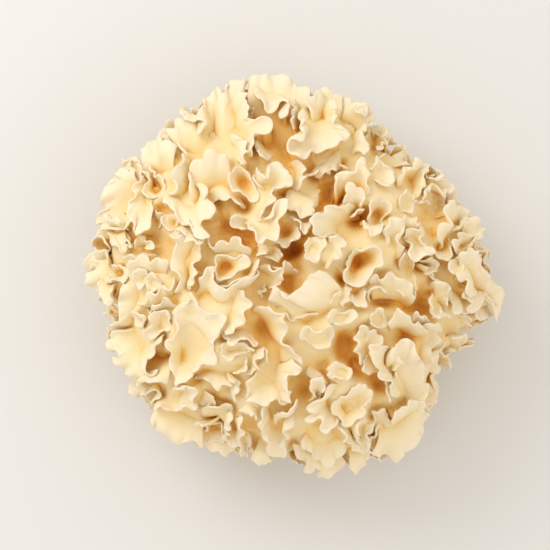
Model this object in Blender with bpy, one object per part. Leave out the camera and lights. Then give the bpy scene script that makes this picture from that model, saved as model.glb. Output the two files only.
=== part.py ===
# Cauliflower mushroom: one fruit body that forks from a short fleshy stem into main
# branches, each of which ends in a crown of thin ruffled lobes.
# Metres, +Z up. The origin is the middle of the flat cut under the stem.
# Each crown is a closed solid that reaches the tips of its lobes.

import math

import bmesh
import bpy
from mathutils import Vector, noise

MM = 0.001

# ---- driving dimensions -----------------------------------------------------
HUB_Z = 16.0 * MM          # the point that every branch points away from
STEM_TOP_R = 36.0 * MM     # the stem's domed top, a sphere about the hub
FORK_GAP = 1.0 * MM        # between the stem's top and each branch's root
SIDE_GAP = 0.45 * MM       # each branch stays this far inside its share of the head
CUT_R = 35.0 * MM          # the flat cut that the mushroom rests on
HEAD_MID_Z = 44.0 * MM     # height of the head's widest level
HEAD_UP = 69.0 * MM        # from there to the top of the head
HEAD_DOWN = 40.0 * MM      # and to the lowest lobes
HEAD_POWER = 2.25          # 2 is an ellipsoid; more is squarer
FLOOR_CLEAR = 2.5 * MM     # lowest lobes above the surface
GROOVE = 0.13              # how far the head dips between two crowns

# the head's outline seen from above: its radius in mm every 15 degrees from +X
OUTLINE = [105, 102, 97, 92, 93, 98, 102, 106, 105, 103, 104, 106,
           105, 102, 101, 102, 99, 97, 96, 102, 105, 99, 92, 101]

# each main branch: name, and where the middle of its crown is, seen from above, in mm
BRANCHES = [
    ("branch_back", (-23, 66)),
    ("branch_back_right", (24, 82)),
    ("branch_right_back", (70, 56)),
    ("branch_right_inner", (44, 26)),
    ("branch_right", (92, 2)),
    ("branch_front_right", (48, -54)),
    ("branch_front", (14, -88)),
    ("branch_front_left", (-44, -78)),
    ("branch_left_inner", (-50, -20)),
    ("branch_left", (-98, -14)),
    ("branch_back_left", (-76, 42)),
    ("branch_centre", (0, -26)),
]

SEGMENTS = 28              # round each crown
RINGS = 14                 # from its outer pole to its root
WIDEST = math.radians(47)  # no crown opens wider than this about its own axis


def head_radius(azimuth):
    """The outline's radius at this azimuth, in metres, smooth between its points."""
    t = (math.degrees(azimuth) % 360) / 15
    i = int(t) % 24
    f = t - int(t)
    f = f * f * (3 - 2 * f)
    return (OUTLINE[i] * (1 - f) + OUTLINE[(i + 1) % 24] * f) * MM


def in_head(p):
    """Under 1 inside the head's envelope, over 1 outside."""
    across = math.hypot(p.x, p.y) / head_radius(math.atan2(p.y, p.x))
    dz = p.z - HEAD_MID_Z
    along = abs(dz) / (HEAD_UP if dz > 0 else HEAD_DOWN)
    return across ** HEAD_POWER + along ** HEAD_POWER


HUB = Vector((0, 0, HUB_Z))


def reach(direction):
    """How far from the hub the envelope lies in this direction."""
    low, high = 0.0, 0.25
    for _ in range(40):
        mid = (low + high) / 2
        if in_head(HUB + direction * mid) < 1:
            low = mid
        else:
            high = mid
    return low


def direction_over(x, y):
    """The direction from the hub to the envelope's upper side over this place."""
    across = min(0.985, math.hypot(x, y) * MM / head_radius(math.atan2(y, x)))
    up = (1 - across ** HEAD_POWER) ** (1 / HEAD_POWER)
    return (Vector((x * MM, y * MM, HEAD_MID_Z + HEAD_UP * up)) - HUB).normalized()


AXES = {name: direction_over(*at) for name, at in BRANCHES}


def material(name, colour, roughness, subsurface):
    made = bpy.data.materials.new(name)
    made.use_nodes = True
    shader = made.node_tree.nodes["Principled BSDF"]
    shader.inputs["Base Color"].default_value = (*colour, 1)
    shader.inputs["Roughness"].default_value = roughness
    shader.inputs["Metallic"].default_value = 0
    shader.inputs["Subsurface Weight"].default_value = subsurface
    made.diffuse_color = (*colour, 1)
    return made


def into_object(name, mesh_data, mat, collection):
    mesh = bpy.data.meshes.new(name)
    mesh_data.to_mesh(mesh)
    mesh_data.free()
    mesh.materials.append(mat)
    mesh.shade_smooth()
    mesh.set_sharp_from_angle(angle=math.radians(50))
    made = bpy.data.objects.new(name, mesh)
    collection.objects.link(made)
    return made


def smooth(low, high, x):
    t = min(1.0, max(0.0, (x - low) / (high - low)))
    return t * t * (3 - 2 * t)


def share_angle(axis, side):
    """How far a direction can lean from axis towards side before another branch is nearer."""
    widest = WIDEST
    for other in AXES.values():
        if (other - axis).length < 1e-6:
            continue
        normal = axis - other
        a, b = normal.dot(axis), normal.dot(side)
        if b < -1e-9:
            widest = min(widest, math.atan2(a, -b))
    return widest


# the crown's section: how far out it is (a share of the envelope, or of the root when
# negative) and how wide (a share of the branch's own share) at each step of the rings
SECTION = [
    (0.00, 1.00, 0.00), (0.12, 1.00, 0.20), (0.26, 1.00, 0.45), (0.38, 0.99, 0.68),
    (0.48, 0.96, 0.86), (0.56, 0.90, 0.97), (0.64, 0.80, 1.00), (0.72, 0.66, 0.96),
    (0.80, 0.53, 0.84), (0.87, 0.44, 0.70), (0.91, -1.0, 0.60), (0.95, -1.0, 0.32),
    (1.00, -1.0, 0.00),
]


def section(t):
    for (t0, r0, w0), (t1, r1, w1) in zip(SECTION, SECTION[1:]):
        if t <= t1 + 1e-9:
            f = (t - t0) / (t1 - t0)
            return r0, r1, f, w0 * (1 - f) + w1 * f
    return -1.0, -1.0, 1.0, 0.0


def build_branch(name, seed, mat, collection):
    """A UV sphere reshaped ring by ring: rounded crown outside, stalk down to the stem's top."""
    axis = AXES[name]
    up = Vector((0, 0, 1)) if abs(axis.z) < 0.9 else Vector((0, 1, 0))
    side_a = axis.cross(up).normalized()
    side_b = axis.cross(side_a).normalized()
    root_r = STEM_TOP_R + FORK_GAP
    bm = bmesh.new()
    bmesh.ops.create_uvsphere(bm, u_segments=SEGMENTS, v_segments=RINGS, radius=1.0)
    for v in bm.verts:
        polar = math.acos(max(-1.0, min(1.0, v.co.z)))
        around = math.atan2(v.co.y, v.co.x)
        r0, r1, f, wide = section(polar / math.pi)
        side = side_a * math.cos(around) - side_b * math.sin(around)
        lean = wide * share_angle(axis, side) * 0.985
        d = (axis * math.cos(lean) + side * math.sin(lean)).normalized()
        full = reach(d)
        radii = [root_r if r < 0 else max(root_r, full * r) for r in (r0, r1)]
        r = radii[0] * (1 - f) + radii[1] * f
        # lobes: meridian folds that fade towards the pole and the stalk, and lumps between them
        outer = smooth(0.55, 0.85, r / full)
        crown = outer * smooth(0.25, 0.70, wide)
        fold = 0.5 + 0.5 * math.cos(7 * around + seed * 1.7 + 1.1 * math.sin(2.5 * wide * math.pi))
        lump = noise.noise(d * 5.5 + Vector((seed * 3.1, 0, 0)))
        r *= 1 + 0.02 * outer - crown * 0.075 * fold - outer * 0.045 * lump
        r *= 1 - GROOVE * smooth(0.72, 1.0, wide) * smooth(0.6, 0.9, r / full)
        p = HUB + d * max(r, root_r)
        # clear of each neighbour: both stay on their own side of the plane between them
        for _ in range(3):
            for other in AXES.values():
                if (other - axis).length < 1e-6:
                    continue
                normal = (axis - other).normalized()
                short = SIDE_GAP - (p - HUB).dot(normal)
                if short > 0:
                    p += normal * short
        if p.z < FLOOR_CLEAR:
            p.z = FLOOR_CLEAR
        v.co = p
    if bm.calc_volume(signed=True) < 0:
        bmesh.ops.reverse_faces(bm, faces=bm.faces)
    bmesh.ops.triangulate(bm, faces=bm.faces)
    return into_object(name, bm, mat, collection)


def build_stem(mat, collection):
    """The short fleshy stem: domed where the branches fork from it, cut flat below."""
    bm = bmesh.new()
    bmesh.ops.create_uvsphere(bm, u_segments=32, v_segments=14, radius=1.0)
    for v in bm.verts:
        polar = math.acos(max(-1.0, min(1.0, v.co.z)))
        around = math.atan2(v.co.y, v.co.x)
        t = polar / math.pi
        ribs = 1 - 0.035 * (0.5 + 0.5 * math.cos(5 * around + 0.8)) - 0.03 * (0.5 + 0.5 * math.cos(8 * around))
        if t < 0.64:     # the dome, down to a little under the hub
            lean = t / 0.64 * math.radians(100)
            p = Vector((math.sin(lean) * math.cos(around), math.sin(lean) * math.sin(around), math.cos(lean)))
            p = HUB + p * (STEM_TOP_R * (1 - (1 - ribs) * smooth(0.25, 0.5, t)))
        elif t < 0.80:   # the side, down to the edge of the cut
            f = (t - 0.64) / 0.16
            r = (STEM_TOP_R * 0.985 * (1 - f) + CUT_R * f) * ribs
            z = (HUB_Z - STEM_TOP_R * 0.174) * (1 - f)
            p = Vector((r * math.cos(around), r * math.sin(around), z * 1.0))
        else:            # the cut itself
            f = (1 - t) / 0.20
            p = Vector((CUT_R * ribs * f * math.cos(around), CUT_R * ribs * f * math.sin(around), 0))
        v.co = p
    low = [f for f in bm.faces if all(abs(v.co.z) < 1e-7 for v in f.verts)]
    if low:
        bmesh.ops.dissolve_faces(bm, faces=low)
    if bm.calc_volume(signed=True) < 0:
        bmesh.ops.reverse_faces(bm, faces=bm.faces)
    bmesh.ops.triangulate(bm, faces=bm.faces)
    return into_object("stem", bm, mat, collection)


def main():
    for obj in list(bpy.data.objects):
        bpy.data.objects.remove(obj, do_unlink=True)
    collection = bpy.data.collections.new("cauliflower_mushroom")
    bpy.context.scene.collection.children.link(collection)
    flesh = material("flesh", (0.93, 0.82, 0.60), 0.55, 0.3)
    root = material("root", (0.80, 0.63, 0.40), 0.7, 0.2)
    build_stem(root, collection)
    for i, (name, _) in enumerate(BRANCHES):
        build_branch(name, i, flesh, collection)


main()
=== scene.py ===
# A cauliflower mushroom seen from above: thin ruffled lobes in place of each crown's solid.
# Everything is in metres in the frame's own axes. The growing of the lobes works in mm.

import math

import bpy
import numpy as np
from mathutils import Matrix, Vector
from mathutils.bvhtree import BVHTree
from mathutils.kdtree import KDTree


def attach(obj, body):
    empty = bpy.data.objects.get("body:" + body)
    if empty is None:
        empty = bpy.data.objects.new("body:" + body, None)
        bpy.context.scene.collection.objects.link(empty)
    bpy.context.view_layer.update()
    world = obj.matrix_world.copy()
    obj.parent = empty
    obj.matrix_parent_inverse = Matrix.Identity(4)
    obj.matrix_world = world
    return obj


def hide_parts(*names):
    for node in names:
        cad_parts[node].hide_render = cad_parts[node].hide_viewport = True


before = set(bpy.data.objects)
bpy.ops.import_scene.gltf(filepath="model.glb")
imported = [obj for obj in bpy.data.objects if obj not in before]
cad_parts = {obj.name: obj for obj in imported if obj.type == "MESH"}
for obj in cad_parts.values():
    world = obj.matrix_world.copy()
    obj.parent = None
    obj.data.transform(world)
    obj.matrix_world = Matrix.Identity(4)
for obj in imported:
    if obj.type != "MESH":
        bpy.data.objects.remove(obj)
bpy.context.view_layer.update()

# ---- the head, as in the solids ------------------------------------------------
HUB = np.array([0.0, 0.0, 16.0])
STEM_TOP_R, CUT_R = 36.0, 35.0   # the stem's dome about the hub, and the flat cut, in mm
HEAD_MID_Z, HEAD_UP, HEAD_DOWN, HEAD_POWER = 44.0, 69.0, 40.0, 2.25
OUTLINE = np.array([105, 102, 97, 92, 93, 98, 102, 106, 105, 103, 104, 106,
                    105, 102, 101, 102, 99, 97, 96, 102, 105, 99, 92, 101], float)
BRANCHES = [
    ("branch_back", (-23, 66)),
    ("branch_back_right", (24, 82)),
    ("branch_right_back", (70, 56)),
    ("branch_right_inner", (44, 26)),
    ("branch_right", (92, 2)),
    ("branch_front_right", (48, -54)),
    ("branch_front", (14, -88)),
    ("branch_front_left", (-44, -78)),
    ("branch_left_inner", (-50, -20)),
    ("branch_left", (-98, -14)),
    ("branch_back_left", (-76, 42)),
    ("branch_centre", (0, -26)),
]
MM = 0.001


def smooth(low, high, x):
    t = np.clip((x - low) / (high - low), 0, 1)
    return t * t * (3 - 2 * t)


def outline(azimuth):
    t = (np.degrees(azimuth) % 360) / 15
    i = np.floor(t).astype(int) % 24
    f = t - np.floor(t)
    f = f * f * (3 - 2 * f)
    return OUTLINE[i] * (1 - f) + OUTLINE[(i + 1) % 24] * f


def head_share(p):
    """1 on the head's envelope, less inside."""
    a = np.hypot(p[..., 0], p[..., 1]) / outline(np.arctan2(p[..., 1], p[..., 0]))
    dz = p[..., 2] - HEAD_MID_Z
    b = np.abs(dz) / np.where(dz > 0, HEAD_UP, HEAD_DOWN)
    return (a ** HEAD_POWER + b ** HEAD_POWER) ** (1 / HEAD_POWER)


def reach(d):
    """How far from the hub the envelope is in each direction."""
    low, high = np.zeros(len(d)), np.full(len(d), 250.0)
    for _ in range(26):
        mid = (low + high) / 2
        inside = head_share(HUB + d * mid[:, None]) < 1
        low, high = np.where(inside, mid, low), np.where(inside, high, mid)
    return low


def head_z(x, y):
    a = np.clip(np.hypot(x, y) / outline(np.arctan2(y, x)), 0, 0.975)
    return HEAD_MID_Z + HEAD_UP * (1 - a ** HEAD_POWER) ** (1 / HEAD_POWER)


def unit(v):
    return v / (np.linalg.norm(v, axis=-1, keepdims=True) + 1e-12)


def axis_over(x, y):
    a = min(0.985, math.hypot(x, y) / float(outline(np.array(math.atan2(y, x)))))
    up = (1 - a ** HEAD_POWER) ** (1 / HEAD_POWER)
    return unit(np.array([x, y, HEAD_MID_Z + HEAD_UP * up]) - HUB)


AXES = np.array([axis_over(*at) for _, at in BRANCHES])

# ---- the camera ------------------------------------------------------------------
ELEVATION = math.radians(84)
TARGET = np.array([-10.0, 0.5, 62.0])
DISTANCE = 1000.0
PIXEL = 0.5                # mm at the target's distance
BACK = np.array([0, -math.cos(ELEVATION), math.sin(ELEVATION)])
EYE = TARGET + BACK * DISTANCE
RIGHT = np.array([1.0, 0, 0])
UP = np.cross(BACK, RIGHT)


def at_height(px, py, z):
    d = -BACK * DISTANCE + RIGHT * (px - 275) * PIXEL + UP * (275 - py) * PIXEL
    return EYE + d * ((z - EYE[2]) / d[2])


def place(px, py, under):
    """The point seen at this place in the 550 x 550 view, so far under the envelope."""
    z = 90.0
    for _ in range(10):
        p = at_height(px, py, z)
        z = 0.5 * z + 0.5 * (float(head_z(p[0], p[1])) - under)
    return at_height(px, py, z)


# ---- the flesh between the lobes --------------------------------------------------
def field_on(d, wavelength, seed, waves=48):
    """A smooth random number for each direction, about 1 high."""
    rng = np.random.default_rng(seed)
    k = unit(rng.normal(size=(waves, 3))) * (2 * math.pi * 100 / wavelength)
    shift = rng.uniform(0, 2 * math.pi, waves)
    return np.cos(d @ k.T + shift).sum(-1) / math.sqrt(waves / 2)


# deep places seen between the lobes: px, py, radius in px, how much deeper in mm, which also sets how much painted
# shade darkens them
DIPS = np.array([
    (289, 254, 8, 13), (297, 250, 8, 14), (306, 236, 5, 11), (347, 346, 14, 7), (354, 362, 8, 11), (341, 334, 7, 8),
    (433, 214, 9, 12), (434, 231, 6, 10), (444, 247, 9, 5), (402, 301, 6, 12), (412, 306, 8, 14), (423, 297, 6, 11),
    (426, 286, 5, 8), (325, 193, 8, 7), (334, 199, 6, 12), (271, 144, 10, 7), (226, 219, 12, 6), (233, 230, 6, 10),
    (159, 242, 11, 6), (251, 429, 9, 13), (217, 396, 9, 9), (378, 396, 10, 5), (376, 378, 6, 7), (390, 412, 5, 13),
    (401, 402, 5, 13), (271, 329, 14, 4), (293, 164, 7, 5), (403, 334, 9, 5), (179, 354, 9, 6), (157, 357, 10, 7),
    (151, 182, 9, 10), (243, 183, 11, 6), (178, 222, 8, 3), (99, 244, 7, 9), (115, 273, 8, 8), (214, 433, 6, 6),
    (312, 434, 12, 8), (357, 262, 8, 8), (379, 213, 6, 6), (303, 383, 5, 6), (326, 362, 3, 7), (408, 262, 8, 6),
    (379, 299, 8, 5), (356, 297, 6, 5), (289, 198, 4, 8), (287, 234, 7, 5), (262, 251, 4, 6), (246, 242, 3, 10),
    (289, 282, 8, 5), (253, 275, 6, 4), (340, 279, 3, 9), (166, 214, 4, 8), (184, 228, 3, 11), (220, 276, 4, 9),
    (229, 264, 9, 4), (355, 221, 8, 5), (380, 413, 6, 6), (367, 335, 3, 10)], float)
BARE = np.array([(218, 236)], float)   # px, py of flesh that bears no small lobe
DIP_WAYS = unit(np.array([place(px, py, 14) for px, py, _, _ in DIPS]) - HUB)


def floor_under(d):
    """How far under the envelope the flesh between the lobes lies, in each direction."""
    deep = 14.0 + 1.8 * field_on(d, 34.0, 77)
    for way, (_, _, radius, more) in zip(DIP_WAYS, DIPS):
        apart = np.linalg.norm(d - way, axis=-1) * 95
        deep = deep + 0.8 * more * np.exp(-(apart / (radius * PIXEL)) ** 4)
    return np.maximum(deep, 8.0)


# ---- sheets of flesh: rows of points from a short root to a long margin -------------
def curve_through(points, closed, n):
    p = np.array(points, float)
    p = np.vstack([p[-1], p, p[0], p[1]]) if closed else np.vstack([2 * p[0] - p[1], p, 2 * p[-1] - p[-2]])
    t = np.linspace(0, 1, 24, endpoint=False)[:, None]
    out = []
    for a, b, c, d in zip(p, p[1:], p[2:], p[3:]):
        out.append(0.5 * (2 * b + (c - a) * t + (2 * a - 5 * b + 4 * c - d) * t * t + (3 * b - a - 3 * c + d) * t ** 3))
    out = np.vstack(out + [p[-2:-1]])
    s = np.concatenate([[0], np.cumsum(np.linalg.norm(np.diff(out, axis=0), axis=1))])
    u = np.linspace(0, s[-1], n)
    return np.stack([np.interp(u, s, out[:, k]) for k in range(3)], 1), s[-1]


def soften(curve, closed, width):
    """The curve without what is narrower than about width points."""
    k = np.exp(-0.5 * (np.arange(-3 * width, 3 * width + 1) / width) ** 2)
    k /= k.sum()
    if closed:
        ring = np.vstack([curve[:-1]] * 3)
        out = np.stack([np.convolve(ring[:, q], k, "same") for q in range(3)], 1)[len(curve) - 1:2 * len(curve) - 2]
        return np.vstack([out, out[:1]])
    m = 3 * width
    head = 2 * curve[0] - curve[m:0:-1] if len(curve) > m else np.repeat(curve[:1], m, 0)
    tail = 2 * curve[-1] - curve[-2:-m - 2:-1] if len(curve) > m else np.repeat(curve[-1:], m, 0)
    long = np.vstack([head, curve, tail])
    return np.stack([np.convolve(long[:, q], k, "same") for q in range(3)], 1)[len(head):len(head) + len(curve)]


def between_rows(a, b, closed):
    if closed:
        a, b = list(a) + [a[0]], list(b) + [b[0]]
    i = j = 0
    na, nb = len(a) - 1, len(b) - 1
    made = []
    while i < na or j < nb:
        if j >= nb or (i < na and (i + 1) * nb <= (j + 1) * na):
            made.append((a[i], a[i + 1], b[j]))
            i += 1
        else:
            made.append((a[i], b[j + 1], b[j]))
            j += 1
    return made


class Flesh:
    """All the sheets' middle surfaces together, before they grow."""

    def __init__(self):
        self.start, self.plan, self.uv, self.swell, self.sheet, self.tris = [], [], [], [], [], []
        self.facts = []
        self.count = 0

    def add(self, rim, knee, closed=False, width=0.65, waist=0.8, growth=0.36, spacing=1.85, lift=0.4, flare=0.3,
            wave=14.0, ruffle=0.9, seed=0, free_knee=None):
        """A sheet that leans from knee, on the flesh between the lobes, to rim, with room to buckle at its margin."""
        rng = np.random.default_rng(7919 * seed + 13)
        rim, length = curve_through(rim, closed, 321)
        knee = np.array(knee, float)
        centre = rim[:-1].mean(0) if closed else rim.mean(0)
        out = unit(centre - HUB)
        low = soften(rim, closed, max(2, int(round(4.5 / (length / 320)))))
        fine = rim - low
        inward = unit(knee - HUB)
        level = float(reach(inward[None])[0] - floor_under(inward[None])[0])
        far = max(level + 0.5, float(np.linalg.norm(knee - HUB)))
        knee = HUB + inward * (min(far, level + 5.0) if free_knee is None else far)
        core = HUB + inward * (level - 2.5 if free_knee is None else max(level - 2.5, far - free_knee))
        core[2] = max(core[2], 7.0)
        spoke = low - centre
        spoke = spoke - np.outer(spoke @ out, out) * 0.7
        foot = core + spoke * width
        bend = knee + spoke * waist
        rise = np.maximum((low - bend) @ out, 2.0)
        side = low - bend
        side = side - np.outer(side @ out, out)
        under_rim = bend + np.outer(rise, out) * lift + side * flare
        depth = float(np.linalg.norm(core - knee) + np.linalg.norm(centre - knee))
        rows, v = [0.0], 0.0
        while v < 1:
            v += spacing * (1.75 - 0.75 * v ** 0.8) / depth
            rows.append(v)
        rows = np.array(rows) / rows[-1]
        s = np.linspace(0, 1, 321)
        shift = rng.uniform(0, 2 * math.pi, 8)
        turns = length / wave
        if closed:
            turns = max(2, round(turns))
        k1, k2, k3 = (1, 2, 3) if closed else (1.3, 2.6, 3.7)
        phase = 2 * math.pi * turns * s + shift[0] + 1.1 * np.sin(2 * math.pi * k1 * s + shift[1]) + 0.7 * np.sin(2 * math.pi * k2 * s + shift[2])
        swing = np.sin(phase) * (0.7 + 0.5 * np.sin(2 * math.pi * k2 * s + shift[3]))
        reach_out = 0.9 * np.sin(phase * 0.5 * (2 if closed else 1) + shift[4]) + 0.7 * np.sin(2 * math.pi * k3 * s + shift[5])
        before = None
        for v in rows:
            q = 1 - v
            row = foot * q ** 3 + bend * 3 * q * q * v + under_rim * 3 * q * v * v + low * v ** 3 + fine * v ** 2.2
            along = unit(np.gradient(row, axis=0))
            outward = unit(rim - under_rim)
            across = unit(np.cross(along, outward))
            row = row + outward * (reach_out * v ** 3)[:, None]
            wavy = row + across * (swing * ruffle * v ** 1.5)[:, None]
            cum = np.concatenate([[0], np.cumsum(np.linalg.norm(np.diff(row, axis=0), axis=1))])
            grown = 1 + growth * (0.7 * v ** 2 + 0.3 * v ** 5)
            n = max(4 if closed else 3, int(round(cum[-1] * (1 + (grown - 1) * 0.7) / (spacing * (1.55 - 0.55 * v)))) + (0 if closed else 1))
            u = np.arange(n) / (n if closed else n - 1)
            cum /= cum[-1]
            ids = np.arange(self.count, self.count + n)
            self.count += n
            self.plan.append(np.stack([np.interp(u, cum, row[:, k]) for k in range(3)], 1))
            self.start.append(np.stack([np.interp(u, cum, wavy[:, k]) for k in range(3)], 1))
            self.uv.append(np.stack([u, np.full(n, v)], 1))
            uneven = 1 + 0.75 * np.sin(2 * math.pi * k2 * u + shift[6]) * np.sin(2 * math.pi * k1 * u + shift[7])
            self.swell.append(1 + (grown - 1) * uneven)
            self.sheet.append(np.full(n, len(self.facts)))
            if before is not None:
                self.tris += between_rows(before, ids, closed)
            before = ids
        self.facts.append((depth, len(rows), length))

    def done(self):
        self.start, self.plan, self.uv = np.vstack(self.start), np.vstack(self.plan), np.vstack(self.uv)
        self.swell, self.sheet = np.concatenate(self.swell), np.concatenate(self.sheet)
        self.tris = np.array(self.tris)
        self.facts = np.array(self.facts)


def spread(n, index, w):
    return np.stack([np.bincount(index, w[:, k], n) for k in range(3)], 1)


def edges_of(tris):
    e = np.concatenate([tris[:, [0, 1]], tris[:, [1, 2]], tris[:, [2, 0]]])
    e.sort(axis=1)
    top = int(e.max()) + 1
    key, inverse, count = np.unique(e[:, 0] * top + e[:, 1], return_inverse=True, return_counts=True)
    return np.stack([key // top, key % top], 1), inverse.reshape(-1), count


STEPS_ROUND = [(0, 0, 0), (1, 0, 0), (0, 1, 0), (0, 0, 1), (1, 1, 0), (1, -1, 0), (1, 0, 1), (1, 0, -1),
               (0, 1, 1), (0, 1, -1), (1, 1, 1), (1, 1, -1), (1, -1, 1), (1, -1, -1)]


def near_pairs(x, d):
    cell = np.floor((x - x.min(0)) / d).astype(np.int64) + 1
    size = cell.max(0) + 2
    key = (cell[:, 0] * size[1] + cell[:, 1]) * size[2] + cell[:, 2]
    order = np.argsort(key, kind="stable")
    cells, first, count = np.unique(key[order], return_index=True, return_counts=True)
    found = []
    for sx, sy, sz in STEPS_ROUND:
        step = (sx * size[1] + sy) * size[2] + sz
        other = np.minimum(np.searchsorted(cells, cells + step), len(cells) - 1)
        a = np.nonzero(cells[other] == cells + step)[0]
        b = other[a]
        each = count[a] * count[b]
        which = np.repeat(np.arange(len(each)), each)
        at = np.arange(each.sum()) - np.repeat(np.cumsum(each) - each, each)
        i = first[a][which] + at // count[b][which]
        j = first[b][which] + at % count[b][which]
        if step == 0:
            i, j = i[i < j], j[i < j]
        i, j = order[i], order[j]
        gap = x[i] - x[j]
        close = np.einsum("ij,ij->i", gap, gap) < d * d
        found.append(np.stack([i[close], j[close]], 1))
    return np.vstack(found)


def grow(flesh, steps=130, rounds=3, gap=2.2, stiffness=0.26, hold=0.03):
    """The margins grow longer than their roots allow, so they buckle into ruffles, kept clear of each other."""
    x, plan, uv = flesh.start.copy(), flesh.plan, flesh.uv
    n = len(x)
    e, _, _ = edges_of(flesh.tris)
    a, b = e.T
    rest0 = np.linalg.norm(plan[a] - plan[b], axis=1)
    rise = np.abs(uv[a, 1] - uv[b, 1]) * flesh.facts[flesh.sheet[a], 0]
    rise = np.minimum(rise, rest0)
    more = (flesh.swell[a] + flesh.swell[b]) / 2
    rest1 = np.sqrt(rise ** 2 + (rest0 ** 2 - rise ** 2) * more ** 2)
    degree = np.bincount(e.ravel(), minlength=n)[:, None].astype(float)
    free = (uv[:, 1] > 0.02).astype(float)[:, None]
    pull = hold * (1 - 0.65 * smooth(0.35, 1.0, uv[:, 1]))[:, None]
    speed = np.zeros_like(x)
    middle = np.array([0, 0, HEAD_MID_Z])
    for step in range(steps):
        rest = rest0 + (rest1 - rest0) * float(smooth(0, 0.6, (step + 1) / steps))
        if step % 8 == 0:
            pairs = near_pairs(x, gap * 1.45)
            i, j = pairs.T
            apart = np.linalg.norm(plan[i] - plan[j], axis=1)
            same = flesh.sheet[i] == flesh.sheet[j]
            pairs = pairs[~(same & (apart < gap * 1.7)) & (np.minimum(uv[i, 1], uv[j, 1]) > 0.22)]
            pi, pj = pairs.T
        before = x
        x = x + speed * 0.85 * free + (plan - x) * pull * free
        for _ in range(rounds):
            d = x[b] - x[a]
            length = np.linalg.norm(d, axis=1)
            c = d * ((length - rest) / (length + 1e-9) * 0.5)[:, None]
            x = x + (spread(n, a, c) - spread(n, b, c)) / degree * 1.7 * free
            x = x + ((spread(n, a, x[b]) + spread(n, b, x[a])) / degree - x) * stiffness * free
        if len(pairs):
            d = x[pj] - x[pi]
            length = np.linalg.norm(d, axis=1)
            near = length < gap
            d, length, qi, qj = d[near], length[near], pi[near], pj[near]
            c = d * ((length - gap) / (length + 1e-9) * 0.45)[:, None]
            many = np.sqrt(np.maximum(1, np.bincount(qi, minlength=n) + np.bincount(qj, minlength=n)))[:, None]
            x = x + (spread(n, qi, c) - spread(n, qj, c)) / many * free
        share = head_share(x)
        over = share > 1.02
        x[over] = middle + (x[over] - middle) / (share[over][:, None] / 1.02) ** 0.5
        x[:, 2] = np.maximum(x[:, 2], 3.5)
        speed = x - before
        fast = np.linalg.norm(speed, axis=1, keepdims=True)
        speed = speed * np.minimum(1, 0.8 / (fast + 1e-9))
    return x


def finer(x, tris, more):
    """One step of Loop subdivision. more holds columns that go with the points."""
    e, inverse, count = edges_of(tris)
    n, m = len(x), len(tris)
    data = np.hstack([x, more])
    far = np.concatenate([tris[:, 2], tris[:, 0], tris[:, 1]])
    cols = range(data.shape[1])
    opposite = np.stack([np.bincount(inverse, data[far, k], len(e)) for k in cols], 1)
    a, b = data[e[:, 0]], data[e[:, 1]]
    rim = count == 1
    mids = np.where(rim[:, None], (a + b) / 2, (a + b) * 0.375 + opposite * 0.125)
    degree = np.bincount(e.ravel(), minlength=n).astype(float)
    around = np.stack([np.bincount(e[:, 0], data[e[:, 1], k], n) + np.bincount(e[:, 1], data[e[:, 0], k], n) for k in cols], 1)
    beta = (5 / 8 - (3 / 8 + np.cos(2 * np.pi / np.maximum(degree, 3)) / 4) ** 2) / np.maximum(degree, 1)
    moved = data * (1 - degree * beta)[:, None] + around * beta[:, None]
    r = e[rim]
    beside = np.stack([np.bincount(r[:, 0], data[r[:, 1], k], n) + np.bincount(r[:, 1], data[r[:, 0], k], n) for k in cols], 1)
    on_rim = np.bincount(r.ravel(), minlength=n) > 0
    moved[on_rim] = data[on_rim] * 0.75 + beside[on_rim] * 0.125
    new = np.vstack([moved, mids])
    i = inverse.reshape(3, m) + n
    t = tris.T
    tris = np.concatenate([np.stack(s, 1) for s in ((t[0], i[0], i[2]), (i[0], t[1], i[1]), (i[2], i[1], t[2]), (i[0], i[1], i[2]))])
    return new[:, :3], tris, new[:, 3:], np.concatenate([np.arange(n), e[:, 0]])


def facing(x, tris):
    f = np.cross(x[tris[:, 1]] - x[tris[:, 0]], x[tris[:, 2]] - x[tris[:, 0]])
    return unit(sum(spread(len(x), tris[:, k], f) for k in range(3)))


def thicken(x, tris, thick, bulge=0.42):
    """A closed solid about the sheet, its margin rounded. Returns points, faces and each point's source."""
    n = len(x)
    normal = facing(x, tris)
    half = normal * (thick / 2)[:, None]
    e, inverse, count = edges_of(tris)
    ends = np.concatenate([tris[:, [0, 1]], tris[:, [1, 2]], tris[:, [2, 0]]])
    rim = ends[count[inverse] == 1]
    along = x[rim[:, 1]] - x[rim[:, 0]]
    outward = np.cross(along, normal[rim[:, 0]] + normal[rim[:, 1]])
    lip_dir = unit(spread(n, rim[:, 0], outward) + spread(n, rim[:, 1], outward))
    ids = np.unique(rim)
    where = np.full(n, -1)
    where[ids] = np.arange(len(ids)) + 2 * n
    lip = x[ids] + lip_dir[ids] * (thick[ids] * bulge)[:, None]
    points = np.vstack([x + half, x - half, lip])
    a, b = rim.T
    faces = np.concatenate([
        tris, tris[:, ::-1] + n,
        np.stack([b, a, where[a]], 1), np.stack([b, where[a], where[b]], 1),
        np.stack([a + n, b + n, where[b]], 1), np.stack([a + n, where[b], where[a]], 1),
    ])
    return points, faces, np.concatenate([np.arange(n), np.arange(n), ids])


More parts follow.
